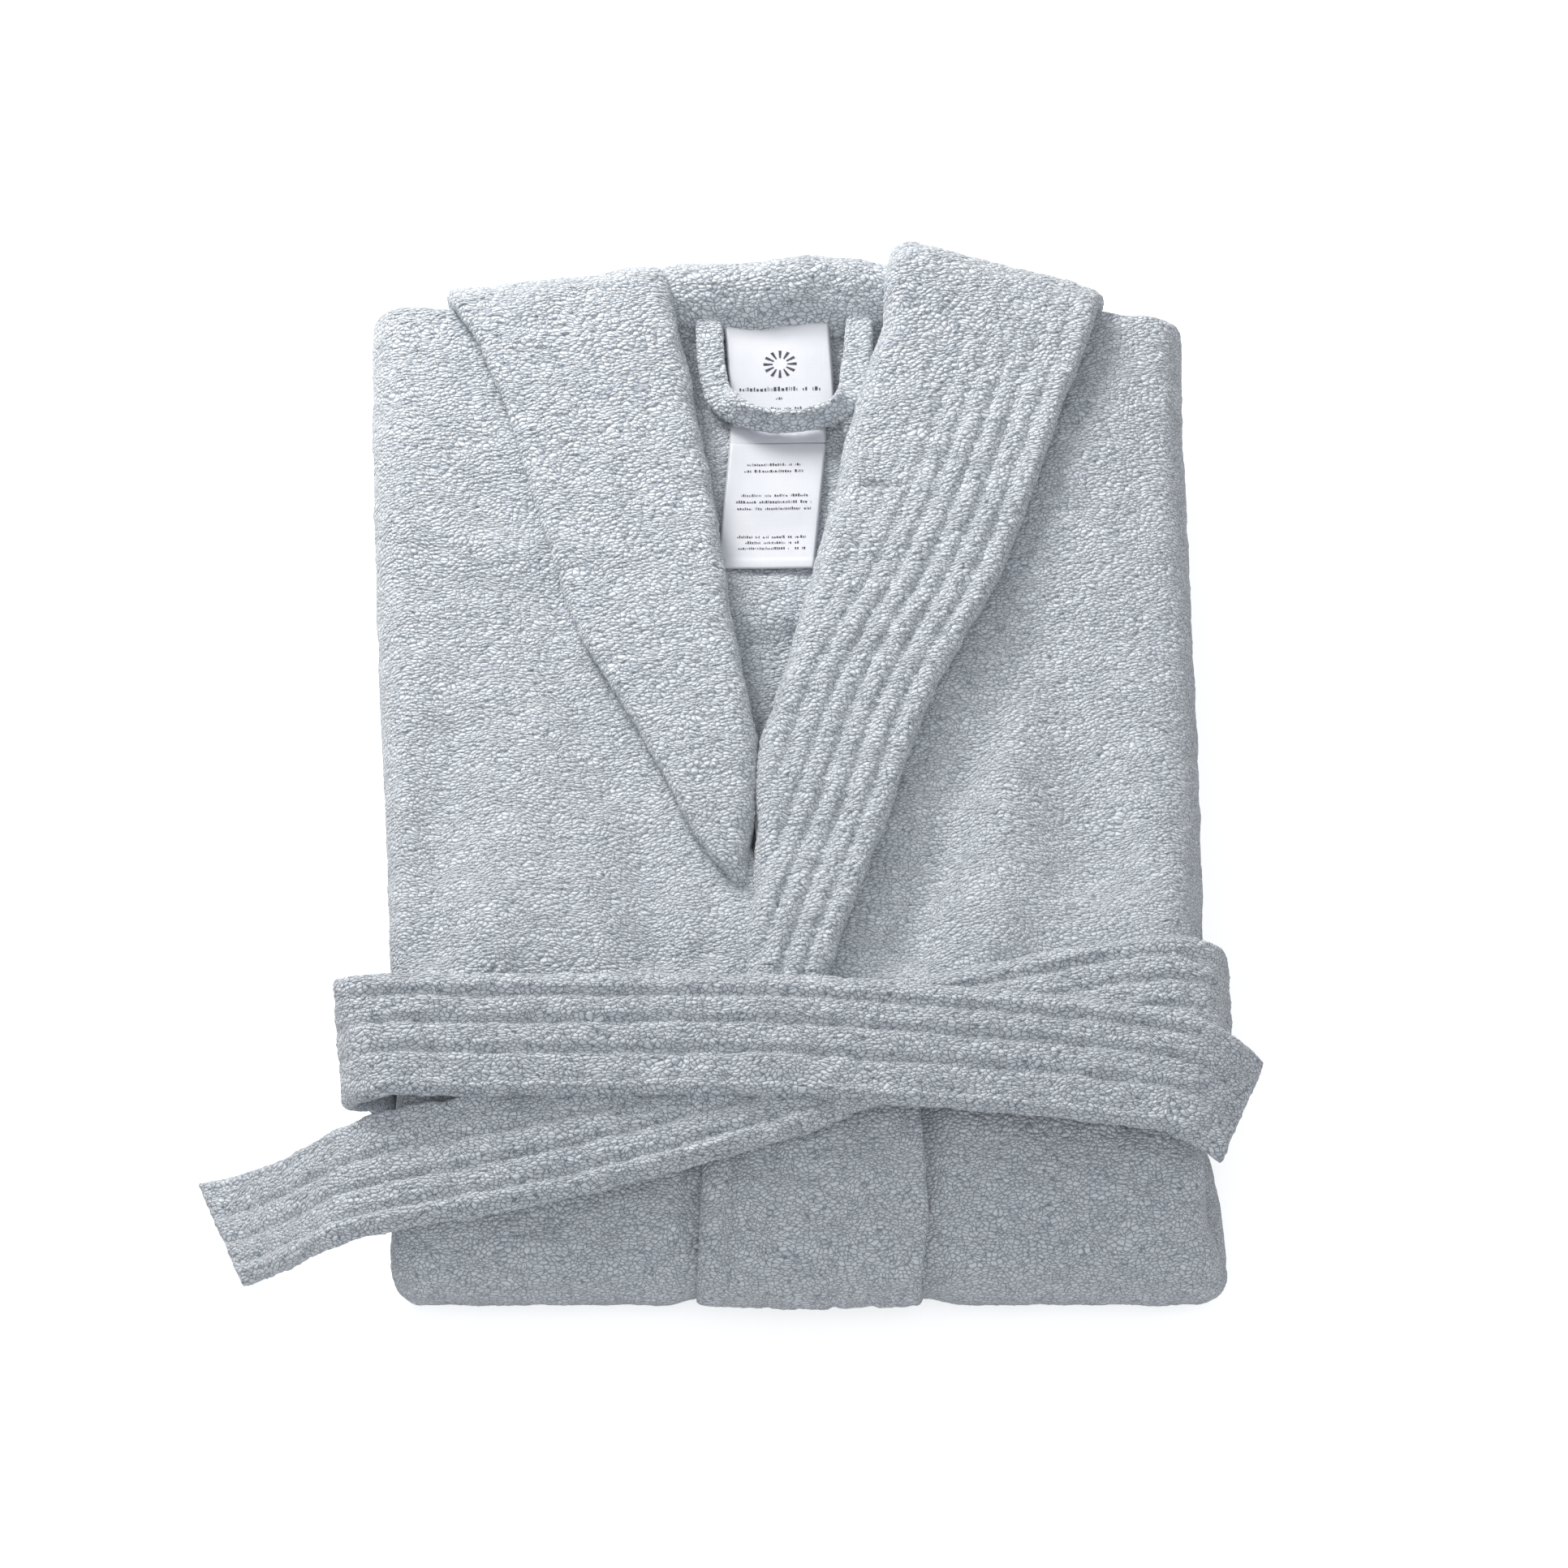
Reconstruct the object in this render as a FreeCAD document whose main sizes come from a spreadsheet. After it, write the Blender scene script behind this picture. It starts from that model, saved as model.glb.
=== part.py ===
"""A terry bathrobe, folded flat for a shelf and wrapped once in its own belt.

The robe lies on its back with the skirt folded under it, so the fronts are on top and on the underside.
X runs across the robe, to the wearer's left; Y runs from the folded nose at the waist up to the neck;
Z is up, and the bundle rests on Z = 0. Left and right are the wearer's. All sizes are millimetres.

From the floor up the layers are: front panels, back panel, the sides folded in, the two sleeves, the sides
folded in, back panel, front panels, then the collar band and the belt. Each layer is a separate solid.
"""

import FreeCAD, Part
import Sketcher
import math
import os
from FreeCAD import Placement, Rotation, Vector

DIMENSIONS = [
    # the folded bundle
    ("body_width", 404.0),
    ("bundle_height", 96.0),
    ("shoulder_y", 272.0),
    ("neck_seam_y", 276.0),
    ("nose_y", -272.0),
    ("hem_y", 262.0),
    ("nose_radius", 32.0),
    ("side_fold", 150.0),
    ("layer_gap", 0.4),
    # cloth thicknesses, with the pile
    ("front_thick", 9.0),
    ("back_thick", 7.2),
    ("lapel_thick", 10.0),
    ("cuff_wall", 5.0),
    ("pocket_thick", 3.6),
    # front closure
    ("front_edge_x", -42.0),
    ("band_seam_x", 70.0),
    ("band_proud", 2.6),
    ("band_top_y", -105.0),
    ("edge_soft", 3.0),
    # sleeves
    ("sleeve_inset", 10.0),
    ("sleeve_end_gap", 11.2686),
    ("sleeve_gap", 8.0),
    ("sleeve_round", 7.0),
    ("cuff_length", 95.0),
    # pockets and belt carriers
    ("pocket_width", 104.0),
    ("pocket_length", 170.0),
    ("pocket_y", -96.0),
    ("pocket_side_x", 62.0),
    ("carrier_length", 60.0),
    ("carrier_width", 7.0),
    ("carrier_thick", 3.0),
    ("carrier_y", -140.0),
    # neck
    ("neck_left_x", 49.4),
    ("neck_right_x", -52.0),
    ("neck_roll_radius", 10.0),
    ("neck_roll_wall", 8.0),
    ("neck_fall", 46.0),
    ("neck_centre_x", -2.0),
    ("label_width", 52.0),
    ("care_label_width", 42.0),
    ("care_centre_x", -5.0),
    ("label_thick", 0.8),
    ("brand_label_length", 65.0),
    ("care_label_length", 151.0),
    ("care_bend_y", 200.0),
    ("loop_width", 84.0),
    ("loop_strip", 14.0),
    ("loop_taper", 6.0),
    ("loop_length", 68.0),
    ("loop_thick", 5.0),
    ("loop_gap", 1.2),
    # belt
    ("belt_width", 64.0),
    ("belt_thick", 6.5),
    ("belt_slack", 10.0),
    ("belt_bend", 26.0),
    ("belt_turn", 16.5),
    ("belt_left_y", -160.0),
    ("belt_right_y", -144.0),
    ("belt_end_y", -184.0),
    ("belt_end_bend", 60.0),
    ("belt_end_angle", 44.0),
    ("tail_gap", 2.0),
    ("tail_hinge_x", -185.0),
    ("tail_bend", 23.5),
    ("tail_angle", 53.0),
]

document = FreeCAD.newDocument("folded_bathrobe")
sheet = document.addObject("Spreadsheet::Sheet", "Dims")
for row, (alias, size) in enumerate(DIMENSIONS, start=1):
    sheet.set(f"A{row}", alias)
    sheet.set(f"B{row}", str(size))
    sheet.setAlias(f"B{row}", alias)
document.recompute()

# Lengths worked out from the sheet, as expressions that the features are bound to.
GAP = "Dims.layer_gap"
TOP = "Dims.bundle_height"
HALF = "Dims.body_width / 2"
FOLD = "(2 * Dims.front_thick + 2 * Dims.back_thick + 3 * Dims.layer_gap)"
NOSE_AXIS = "(Dims.nose_y + Dims.nose_radius)"
CROWN = "((Dims.bundle_height - Dims.nose_radius * (1 + sin(45))) / (1 - cos(45)))"
CROWN_Y = f"({NOSE_AXIS} - Dims.nose_radius * cos(45) + {CROWN} * sin(45))"
BACK_TOP = "(Dims.bundle_height - Dims.front_thick - Dims.layer_gap)"
CARE_LOW = f"({BACK_TOP} + {GAP})"
BRAND_LOW = f"({CARE_LOW} + Dims.label_thick + {GAP})"
LOOP_LOW = f"({BRAND_LOW} + Dims.label_thick + Dims.loop_gap)"
INSIDE = f"({CROWN} - Dims.front_thick - Dims.back_thick - {GAP})"
SLEEVE_TOP = f"({CROWN} - {FOLD} - {GAP})"
SLEEVE_END = f"({CROWN_Y} - sqrt({INSIDE} ^ 2 - {SLEEVE_TOP} ^ 2) + Dims.sleeve_end_gap)"
TAIL_Y = "(Dims.belt_left_y - Dims.belt_width - Dims.tail_gap)"

parts = []


def value(expression):
    """The number that an expression gives with the sheet's present sizes."""
    return float(sheet.evalExpression(expression.replace("Dims.", "")))


def new_body(label):
    """An empty PartDesign body that ends up as one sub-part."""
    body = document.addObject("PartDesign::Body", label)
    body.Label = label
    parts.append(body)
    return body


def sketch(body, plane, outline, offset="0"):
    """A closed sketch on one of the body's origin planes, moved along the plane's normal by offset.

    outline is a list of (x, y) corners as expressions. An arc is (x, y, radius, turn): the edge that
    ends at that corner then bends with that radius, to the left for turn 1 and to the right for turn -1.
    """
    made = body.newObject("Sketcher::SketchObject", f"{body.Name}_sketch")
    support = next(f for f in body.Origin.OriginFeatures if f.Role == plane)
    made.AttachmentSupport = [(support, "")]
    made.MapMode = "FlatFace"
    made.setExpression("AttachmentOffset.Base.z", offset)
    corners = [Vector(value(c[0]), value(c[1]), 0) for c in outline]
    ends = []
    for index, corner in enumerate(outline):
        start, end = corners[index - 1], corners[index]
        if len(corner) == 2:
            made.addGeometry(Part.LineSegment(start, end), False)
            ends.append((1, 2))
            continue
        radius, turn = value(corner[2]), corner[3]
        chord = end - start
        rise = math.sqrt(max(radius**2 - chord.Length**2 / 4, 0))
        side = Vector(-chord.y, chord.x, 0).normalize() * turn
        centre = (start + end) * 0.5 + side * rise
        first, last = (start, end) if turn == 1 else (end, start)
        angles = [math.atan2(p.y - centre.y, p.x - centre.x) for p in (first, last)]
        circle = Part.Circle(centre, Vector(0, 0, 1), radius)
        made.addGeometry(Part.ArcOfCircle(circle, angles[0], angles[1]), False)
        ends.append((1, 2) if turn == 1 else (2, 1))
        name = made.addConstraint(Sketcher.Constraint("Radius", index, radius))
        made.setExpression(f"Constraints[{name}]", corner[2])
    for index, corner in enumerate(outline):
        following = (index + 1) % len(outline)
        joined = (index, ends[index][1], following, ends[following][0])
        made.addConstraint(Sketcher.Constraint("Coincident", *joined))
        for kind, axis in (("DistanceX", 0), ("DistanceY", 1)):
            size = value(corner[axis])
            fixed = Sketcher.Constraint(kind, -1, 1, index, ends[index][1], size)
            number = made.addConstraint(fixed)
            made.setExpression(f"Constraints[{number}]", corner[axis])
    return made


def pad(body, profile, length, back=False):
    """Pads a sketch by length along its plane's normal, or against it."""
    made = body.newObject("PartDesign::Pad", f"{body.Name}_pad")
    made.Profile = profile
    made.setExpression("Length", length)
    made.Reversed = back
    document.recompute()
    return made


def pocket(body, profile, length, back=False):
    """Cuts a sketch out of the body, against its plane's normal unless back is set."""
    before = body.Shape.Volume
    made = body.newObject("PartDesign::Pocket", f"{body.Name}_pocket")
    made.Profile = profile
    made.setExpression("Length", length)
    made.Reversed = back
    document.recompute()
    if made.Shape.Volume >= before:
        raise RuntimeError(f"{made.Name} cut nothing from {body.Label}")
    return made


def soften(body, radius, chosen):
    """Fillets the edges of the body's present shape that chosen(edge) picks."""
    document.recompute()
    base = body.Tip
    names = [f"Edge{i}" for i, edge in enumerate(base.Shape.Edges, start=1) if chosen(edge)]
    if not names:
        raise RuntimeError(f"{body.Label} has no edge to soften")
    made = body.newObject("PartDesign::Fillet", f"{body.Name}_fillet")
    made.Base = (base, names)
    made.setExpression("Radius", radius)
    document.recompute()
    return made


def level_edges(height):
    """Picks the edges that lie wholly at a height."""
    level = value(height)

    def chosen(edge):
        box = edge.BoundBox
        return abs(box.ZMin - level) < 0.01 and abs(box.ZMax - level) < 0.01

    return chosen


def shell_path(depth, start):
    """Corners of the side profile at a depth below the outer face, from the top at start round the nose."""
    nose, crown = f"(Dims.nose_radius - ({depth}))", f"({CROWN} - ({depth}))"
    return [
        (start, f"{TOP} - ({depth})"),
        (CROWN_Y, f"{TOP} - ({depth})"),
        (f"{NOSE_AXIS} - {nose} * cos(45)", f"Dims.nose_radius + {nose} * sin(45)", crown, 1),
        (NOSE_AXIS, depth, nose, 1),
    ]


def reversed_path(path):
    """The same corners walked the other way, with each arc kept on its own edge."""
    walked = []
    for index in range(len(path) - 1, -1, -1):
        bend = path[index + 1][2:] if index + 1 < len(path) else ()
        walked.append((*path[index][:2], *((bend[0], -bend[1]) if bend else ())))
    return walked


def layer_profile(outer, inner, top_end, bottom_end):
    """A layer that runs from top_end round the nose to bottom_end, between two depths."""
    outside = [*shell_path(outer, top_end), (bottom_end, outer)]
    inside = [(bottom_end, inner), *reversed_path(shell_path(inner, top_end))]
    return outside + inside


def nose_profile(outer, inner):
    """The part of a layer in front of the crown and the flat underside."""
    outside = shell_path(outer, CROWN_Y)[1:]
    inside = reversed_path(shell_path(inner, CROWN_Y)[1:])
    return outside + inside


def side_profile(side, depth, thick, low, wing_low):
    """A layer's rolled side, with the wing folded in on the side that faces the bundle's middle."""
    edge = f"{side} * ({HALF} - {FOLD} / 2)"
    wing, root = f"{side} * ({HALF} - Dims.side_fold)", f"{side} * ({HALF} - {FOLD} / 2 - 5)"
    below, above = (wing, root) if wing_low else (root, wing)
    middle, high = f"{low} + {FOLD} / 2", f"{low} + {FOLD}"
    outer, inner = f"({FOLD} / 2 - ({depth}))", f"({FOLD} / 2 - ({depth}) - {thick})"
    return [
        (edge, f"{low} + {depth}"),
        (f"{side} * ({HALF} - ({depth}))", middle, outer, side),
        (edge, f"{high} - ({depth})", outer, side),
        (above, f"{high} - ({depth})"),
        (above, f"{high} - ({depth}) - {thick}"),
        (edge, f"{high} - ({depth}) - {thick}"),
        (f"{side} * ({HALF} - ({depth}) - {thick})", middle, inner, -side),
        (edge, f"{low} + {depth} + {thick}", inner, -side),
        (below, f"{low} + {depth} + {thick}"),
        (below, f"{low} + {depth}"),
    ]


def side_rolls(body, side, depth, thick, top_end):
    """Adds the upper and lower side rolls with the wings folded in from them."""
    upper = side_profile(side, depth, thick, f"({TOP} - {FOLD})", True)
    pad(body, sketch(body, "XZ_Plane", upper, f"-({top_end})"), f"{top_end} - {CROWN_Y}")
    lower = side_profile(side, depth, thick, "0", False)
    pad(body, sketch(body, "XZ_Plane", lower, "-Dims.hem_y"), f"Dims.hem_y - {NOSE_AXIS}")


def nose_end(body, side, thick):
    """Carries the outer layer round the nose out to the bundle's side."""
    start = f"{HALF} - {FOLD} / 2" if side == 1 else f"-({HALF})"
    pad(body, sketch(body, "YZ_Plane", nose_profile("0", thick), start), f"{FOLD} / 2")


def panel_slab(body, outer, inner, left, right, top_end, bottom_end):
    """Pads a layer's side profile across the robe, from x = left to x = right."""
    profile = sketch(body, "YZ_Plane", layer_profile(outer, inner, top_end, bottom_end), left)
    return pad(body, profile, f"({right}) - ({left})")


# Where the collar turns over on each side, in plan, from the neck down to the closure.
LEFT_ROLL = [(50, 272), (50, 246), (30, 160), (4, 70), (-5, 34), (-13, -40), (-17, -104)]
RIGHT_ROLL = [(-52, 272), (-47, 238), (-37, 184), (-28, 120), (-12, 4), (-17.5, -50), (-20, -104)]

# The free edges of the lapels, from the closure up to the neck.
LEFT_LAPEL = [(20, -118), (38, -66), (72, 32), (108, 114), (135, 194), (157, 264)]
LEFT_LAPEL += [(153, 274), (66, 312), (53, 304)]
RIGHT_LAPEL = [(-22, -62), (-34, -56), (-81, 23), (-104, 86), (-138, 212), (-168, 276), (-104, 296)]
RIGHT_LAPEL += [(-69, 298), (-55, 286)]


def plan(points):
    """Points of a plan as sketch corners."""
    return [(str(x), str(y)) for x, y in points]


def rectangle(left, low, right, high):
    """The corners of a rectangle."""
    return [(left, low), (right, low), (right, high), (left, high)]


def rounded(left, low, right, high, radius):
    """A rectangle with its four corners rounded."""
    return [
        (f"{left} + {radius}", low, radius, 1),
        (f"{right} - {radius}", low),
        (right, f"{low} + {radius}", radius, 1),
        (right, f"{high} - {radius}"),
        (f"{right} - {radius}", high, radius, 1),
        (f"{left} + {radius}", high),
        (left, f"{high} - {radius}", radius, 1),
        (left, f"{low} + {radius}"),
    ]


def cut_belt_channel(body):
    """Sinks the strand of belt that the bundle rests on into a panel's underside."""
    reach = f"({HALF} + 1)"
    spread = "(Dims.belt_width / 2 + 1.5)"
    corners = [
        (f"-{reach}", f"Dims.belt_left_y - {spread}"),
        (reach, f"Dims.belt_right_y - {spread}"),
        (reach, f"Dims.belt_right_y + {spread}"),
        (f"-{reach}", f"Dims.belt_left_y + {spread}"),
    ]
    pocket(body, sketch(body, "XY_Plane", corners), f"Dims.belt_thick + {GAP}", back=True)


def pocket_outline(side, clearance):
    """The patch pocket in plan, grown by a clearance."""
    near = "Dims.pocket_side_x" if side == -1 else "(Dims.band_seam_x + 6)"
    x_low, x_high = f"{side} * ({near} - {clearance})", f"{side} * ({near} + Dims.pocket_width + {clearance})"
    low, high = f"Dims.pocket_y - {clearance}", f"Dims.pocket_y + Dims.pocket_length + {clearance}"
    return rectangle(x_low, low, x_high, high)


def front_panel(label, side):
    """One front: the chest on top, round the nose to the skirt underneath, with its side folded in."""
    body = new_body(label)
    edge = f"({HALF} - {FOLD} / 2)"
    inner = "Dims.front_thick"
    ends = ("Dims.shoulder_y", "Dims.hem_y")
    if side == 1:
        panel_slab(body, "0", inner, f"Dims.band_seam_x + {GAP}", edge, *ends)
        chest = [*LEFT_ROLL, (74, -104), (74, 272)]
    else:
        panel_slab(body, "0", inner, f"-{edge}", f"Dims.front_edge_x - {GAP}", *ends)
        chest = [*RIGHT_ROLL[2:], (-46, -104), (-46, 232)]
    side_rolls(body, side, "0", inner, "Dims.shoulder_y")
    nose_end(body, side, inner)
    pad(body, sketch(body, "XY_Plane", plan(chest), TOP), inner, back=True)
    if side == -1:
        opening = sketch(body, "XY_Plane", plan([*RIGHT_ROLL[:2], (-40, 199), (-40, 274)]), f"{TOP} + 1")
        pocket(body, opening, "Dims.front_thick + 2")
        underlap(body)
    cut_belt_channel(body)
    recess = sketch(body, "XY_Plane", pocket_outline(side, "0.6"))
    pocket(body, recess, f"Dims.pocket_thick + {GAP}", back=True)
    return body


def underlap(body):
    """The right front's edge, which runs down under the left band and round the nose."""
    left, right = "Dims.front_edge_x - 2", "(Dims.band_seam_x - 10)"
    depth, start = f"(Dims.front_thick / 2 + {GAP})", f"(Dims.band_top_y - {GAP})"
    outline = [*shell_path(depth, start), *reversed_path(shell_path("Dims.front_thick", start))]
    pad(body, sketch(body, "YZ_Plane", outline, left), f"{right} - ({left})")


def back_panel():
    """The back, nested inside the fronts and seen only inside the neck."""
    body = new_body("back_panel")
    depth, thick = f"(Dims.front_thick + {GAP})", "Dims.back_thick"
    edge = f"({HALF} - {FOLD} / 2)"
    panel_slab(body, depth, f"{depth} + {thick}", f"-{edge}", edge, "Dims.neck_seam_y", "Dims.hem_y")
    for side in (1, -1):
        side_rolls(body, side, depth, thick, "Dims.shoulder_y")
    return body


def left_band():
    """The left band: the turned-over lapel, then the flat band down the front edge to the hem."""
    body = new_body("collar_band_left")
    proud, half, full = "Dims.band_proud", "(Dims.front_thick / 2)", "Dims.front_thick"
    nose = f"(Dims.nose_radius + {proud})"
    foot = f"(({nose}) ^ 2 + Dims.nose_radius ^ 2) / (2 * Dims.nose_radius)"
    outside = shell_path(f"-{proud}", "Dims.band_top_y")[:3]
    outside += [
        (f"{NOSE_AXIS} - {nose}", "Dims.nose_radius", nose, 1),
        (NOSE_AXIS, "0", foot, 1),
        ("Dims.hem_y", "0"),
        ("Dims.hem_y", full),
        (f"{NOSE_AXIS} + {GAP}", full),
        (f"{NOSE_AXIS} + {GAP}", half),
    ]
    inside = reversed_path(shell_path(half, "Dims.band_top_y"))
    profile = sketch(body, "YZ_Plane", outside + inside, "Dims.front_edge_x")
    pad(body, profile, "Dims.band_seam_x - Dims.front_edge_x")
    cut_belt_channel(body)
    lapel = sketch(body, "XY_Plane", plan([*LEFT_ROLL, *LEFT_LAPEL]), f"{TOP} + {GAP}")
    pad(body, lapel, "Dims.lapel_thick")
    soften(body, "Dims.edge_soft", level_edges(f"{TOP} + {GAP} + Dims.lapel_thick"))
    return body


def right_band():
    """The right band's lapel, turned over onto the right front."""
    body = new_body("collar_band_right")
    lapel = sketch(body, "XY_Plane", plan([*RIGHT_ROLL[:-1], *RIGHT_LAPEL]), f"{TOP} + {GAP}")
    pad(body, lapel, "Dims.lapel_thick")
    soften(body, "Dims.edge_soft", level_edges(f"{TOP} + {GAP} + Dims.lapel_thick"))
    return body


def neck_collar():
    """The collar behind the neck: it stands at the seam, rolls over and falls behind."""
    body = new_body("back_neck_collar")
    near = f"(Dims.neck_seam_y + {GAP})"
    radius, wall = "Dims.neck_roll_radius", "Dims.neck_roll_wall"
    axis, crest = f"({near} + {radius})", f"({TOP} + 2)"
    low, fall = BACK_TOP, f"({crest} - Dims.neck_fall)"
    outline = [
        (near, crest, radius, 1),
        (near, low),
        (f"{near} + {wall}", low),
        (f"{near} + {wall}", crest),
        (axis, f"{crest} + {radius} - {wall}", f"{radius} - {wall}", -1),
        (f"{axis} + {radius} - {wall}", crest, f"{radius} - {wall}", -1),
        (f"{axis} + {radius} - {wall}", fall),
        (f"{axis} + {radius}", fall),
        (f"{axis} + {radius}", crest),
        (axis, f"{crest} + {radius}", radius, 1),
    ]
    profile = sketch(body, "YZ_Plane", outline, "Dims.neck_right_x")
    pad(body, profile, "Dims.neck_left_x - Dims.neck_right_x")
    return body


def sleeve_box(side, inset):
    """The flattened sleeve's cross-section between the two halves of the body, set in by inset."""
    near, far = "Dims.sleeve_gap / 2", f"({HALF} - Dims.sleeve_inset)"
    left, right = (near, far) if side == 1 else (f"-{far}", f"-({near})")
    low, high = f"({FOLD} + {GAP} + {inset})", f"({TOP} - {FOLD} - {GAP} - {inset})"
    return rounded(f"{left} + {inset}", low, f"({right} - {inset})", high, "Dims.sleeve_round")


def sleeve(label, side):
    """A sleeve laid flat down the inside of the bundle, narrower where its cuff goes round it."""
    body = new_body(label)
    turn = f"({SLEEVE_END} + Dims.cuff_length + {GAP})"
    wide = sketch(body, "XZ_Plane", sleeve_box(side, "0"), "-Dims.shoulder_y")
    pad(body, wide, f"Dims.shoulder_y - {turn}")
    narrow = sketch(body, "XZ_Plane", sleeve_box(side, f"(Dims.cuff_wall + {GAP})"), f"-{turn}")
    pad(body, narrow, f"{turn} - {SLEEVE_END}")
    return body


def cuff(label, side):
    """The turned-back cuff, a band round the sleeve's end."""
    body = new_body(label)
    end = f"({SLEEVE_END} + Dims.cuff_length)"
    outer = sketch(body, "XZ_Plane", sleeve_box(side, "0"), f"-{end}")
    pad(body, outer, "Dims.cuff_length")
    bore = sketch(body, "XZ_Plane", sleeve_box(side, "Dims.cuff_wall"), f"-{end} - 1")
    pocket(body, bore, "Dims.cuff_length + 2", back=True)
    return body


def patch_pocket(label, side):
    """A patch pocket on the skirt, flush with the underside."""
    body = new_body(label)
    pad(body, sketch(body, "XY_Plane", pocket_outline(side, "0")), "Dims.pocket_thick")
    return body


def belt_carrier(label, side):
    """A thread loop for the belt at the side seam, inside the upper fold."""
    body = new_body(label)
    far = f"({HALF} - Dims.side_fold - 0.6)"
    near = f"({far} - Dims.carrier_width)"
    low, high = "(Dims.carrier_y - Dims.carrier_length / 2)", "(Dims.carrier_y + Dims.carrier_length / 2)"
    outline = rectangle(f"{side} * {near}", low, f"{side} * {far}", high)
    pad(body, sketch(body, "XY_Plane", outline, f"{TOP} - {FOLD} + 2"), "Dims.carrier_thick")
    return body


BELT_OUT = f"({HALF} + Dims.belt_slack + Dims.belt_thick)"
BELT_REACH = f"({BELT_OUT} - Dims.belt_bend)"
BELT_LOWER = f"({TOP} + Dims.band_proud + {GAP})"
BELT_UPPER = f"({BELT_LOWER} + Dims.belt_thick + {GAP})"


def belt_strand(body, start, end, start_y, end_y, low):
    """A level strand of belt from x = start to x = end, running across to a new y."""
    spread = "Dims.belt_width / 2"
    outline = rectangle(f"{start_y} - {spread}", low, f"{start_y} + {spread}", f"{low} + Dims.belt_thick")
    strand = pad(body, sketch(body, "YZ_Plane", outline, start), f"{end} - ({start})")
    strand.UseCustomVector = True
    strand.AlongSketchNormal = True
    slope = f"({end_y} - ({start_y})) / ({end} - ({start}))"
    strand.Direction = Vector(1, value(slope), 0)
    strand.setExpression("Direction.y", slope)
    document.recompute()


def belt_side(body, side, centre_y, low):
    """The belt's turn down one side of the bundle, from a strand at low to the strand underneath."""
    thick = "Dims.belt_thick"
    out, inside = f"{side} * {BELT_OUT}", f"{side} * ({BELT_OUT} - {thick})"
    start, turn = f"{side} * {BELT_REACH}", f"{side} * ({BELT_OUT} - Dims.belt_turn)"
    high = f"({low} + {thick})"
    bend, foot = "Dims.belt_bend", "Dims.belt_turn"
    outline = [
        (f"{side} * ({BELT_REACH} - 1)", high),
        (start, high),
        (out, f"{high} - {bend}", bend, -side),
        (out, foot),
        (turn, "0", foot, -side),
        (f"{side} * ({BELT_REACH} - 1)", "0"),
        (f"{side} * ({BELT_REACH} - 1)", thick),
        (turn, thick),
        (inside, foot, f"{foot} - {thick}", side),
        (inside, f"{high} - {bend}"),
        (start, low, f"{bend} - {thick}", side),
        (f"{side} * ({BELT_REACH} - 1)", low),
    ]
    profile = sketch(body, "XZ_Plane", outline, f"-({centre_y} + Dims.belt_width / 2)")
    pad(body, profile, "Dims.belt_width")


def belt_wrap():
    """The belt's one and a half turns: over, down the left side, underneath, up the right side and over."""
    body = new_body("belt_wrap")
    under = f"-{BELT_REACH}"
    belt_strand(body, under, BELT_REACH, "Dims.belt_left_y", "Dims.belt_right_y", "0")
    belt_side(body, 1, "Dims.belt_right_y", BELT_LOWER)
    belt_side(body, -1, "Dims.belt_left_y", BELT_UPPER)
    belt_strand(body, "Dims.tail_hinge_x", BELT_REACH, TAIL_Y, "Dims.belt_right_y", BELT_LOWER)
    belt_strand(body, under, BELT_REACH, "Dims.belt_left_y", "Dims.belt_end_y", BELT_UPPER)
    return body


def belt_end():
    """The belt's free end, drooping over the left side of the bundle."""
    body = new_body("belt_end")
    start, bend, thick = f"({BELT_REACH} + {GAP})", "Dims.belt_end_bend", "Dims.belt_thick"
    axis = f"({BELT_UPPER} - {bend})"
    turn = "Dims.belt_end_angle"
    outline = [
        (start, BELT_UPPER),
        (f"{start} + {bend} * sin({turn})", f"{axis} + {bend} * cos({turn})", bend, -1),
        (f"{start} + ({bend} + {thick}) * sin({turn})", f"{axis} + ({bend} + {thick}) * cos({turn})"),
        (start, f"{BELT_UPPER} + {thick}", f"{bend} + {thick}", 1),
    ]
    profile = sketch(body, "XZ_Plane", outline, "-(Dims.belt_end_y + Dims.belt_width / 2)")
    pad(body, profile, "Dims.belt_width")
    return body


def belt_tail():
    """The belt's other end, hanging over the right side of the bundle down to the floor."""
    body = new_body("belt_tail")
    start, bend, thick = f"(Dims.tail_hinge_x - {GAP})", "Dims.tail_bend", "Dims.belt_thick"
    turn = "Dims.tail_angle"
    bend_x, axis = f"({start} - 7)", f"({BELT_LOWER} - {bend})"
    drop = f"(({axis} + {bend} * cos({turn}) - {GAP}) / sin({turn}))"
    along, down = f"{drop} * cos({turn})", f"{drop} * sin({turn})"
    inner_x, inner_z = f"{bend_x} - {bend} * sin({turn})", f"{axis} + {bend} * cos({turn})"
    outer_x = f"{bend_x} - ({bend} + {thick}) * sin({turn})"
    outer_z = f"{axis} + ({bend} + {thick}) * cos({turn})"
    outline = [
        (start, BELT_LOWER),
        (start, f"{BELT_LOWER} + {thick}"),
        (bend_x, f"{BELT_LOWER} + {thick}"),
        (outer_x, outer_z, f"{bend} + {thick}", 1),
        (f"{outer_x} - {along}", f"{outer_z} - {down}"),
        (f"{inner_x} - {along}", f"{inner_z} - {down}"),
        (inner_x, inner_z),
        (bend_x, BELT_LOWER, bend, -1),
    ]
    profile = sketch(body, "XZ_Plane", outline, f"-({TAIL_Y} + Dims.belt_width / 2)")
    pad(body, profile, "Dims.belt_width")
    return body


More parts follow.
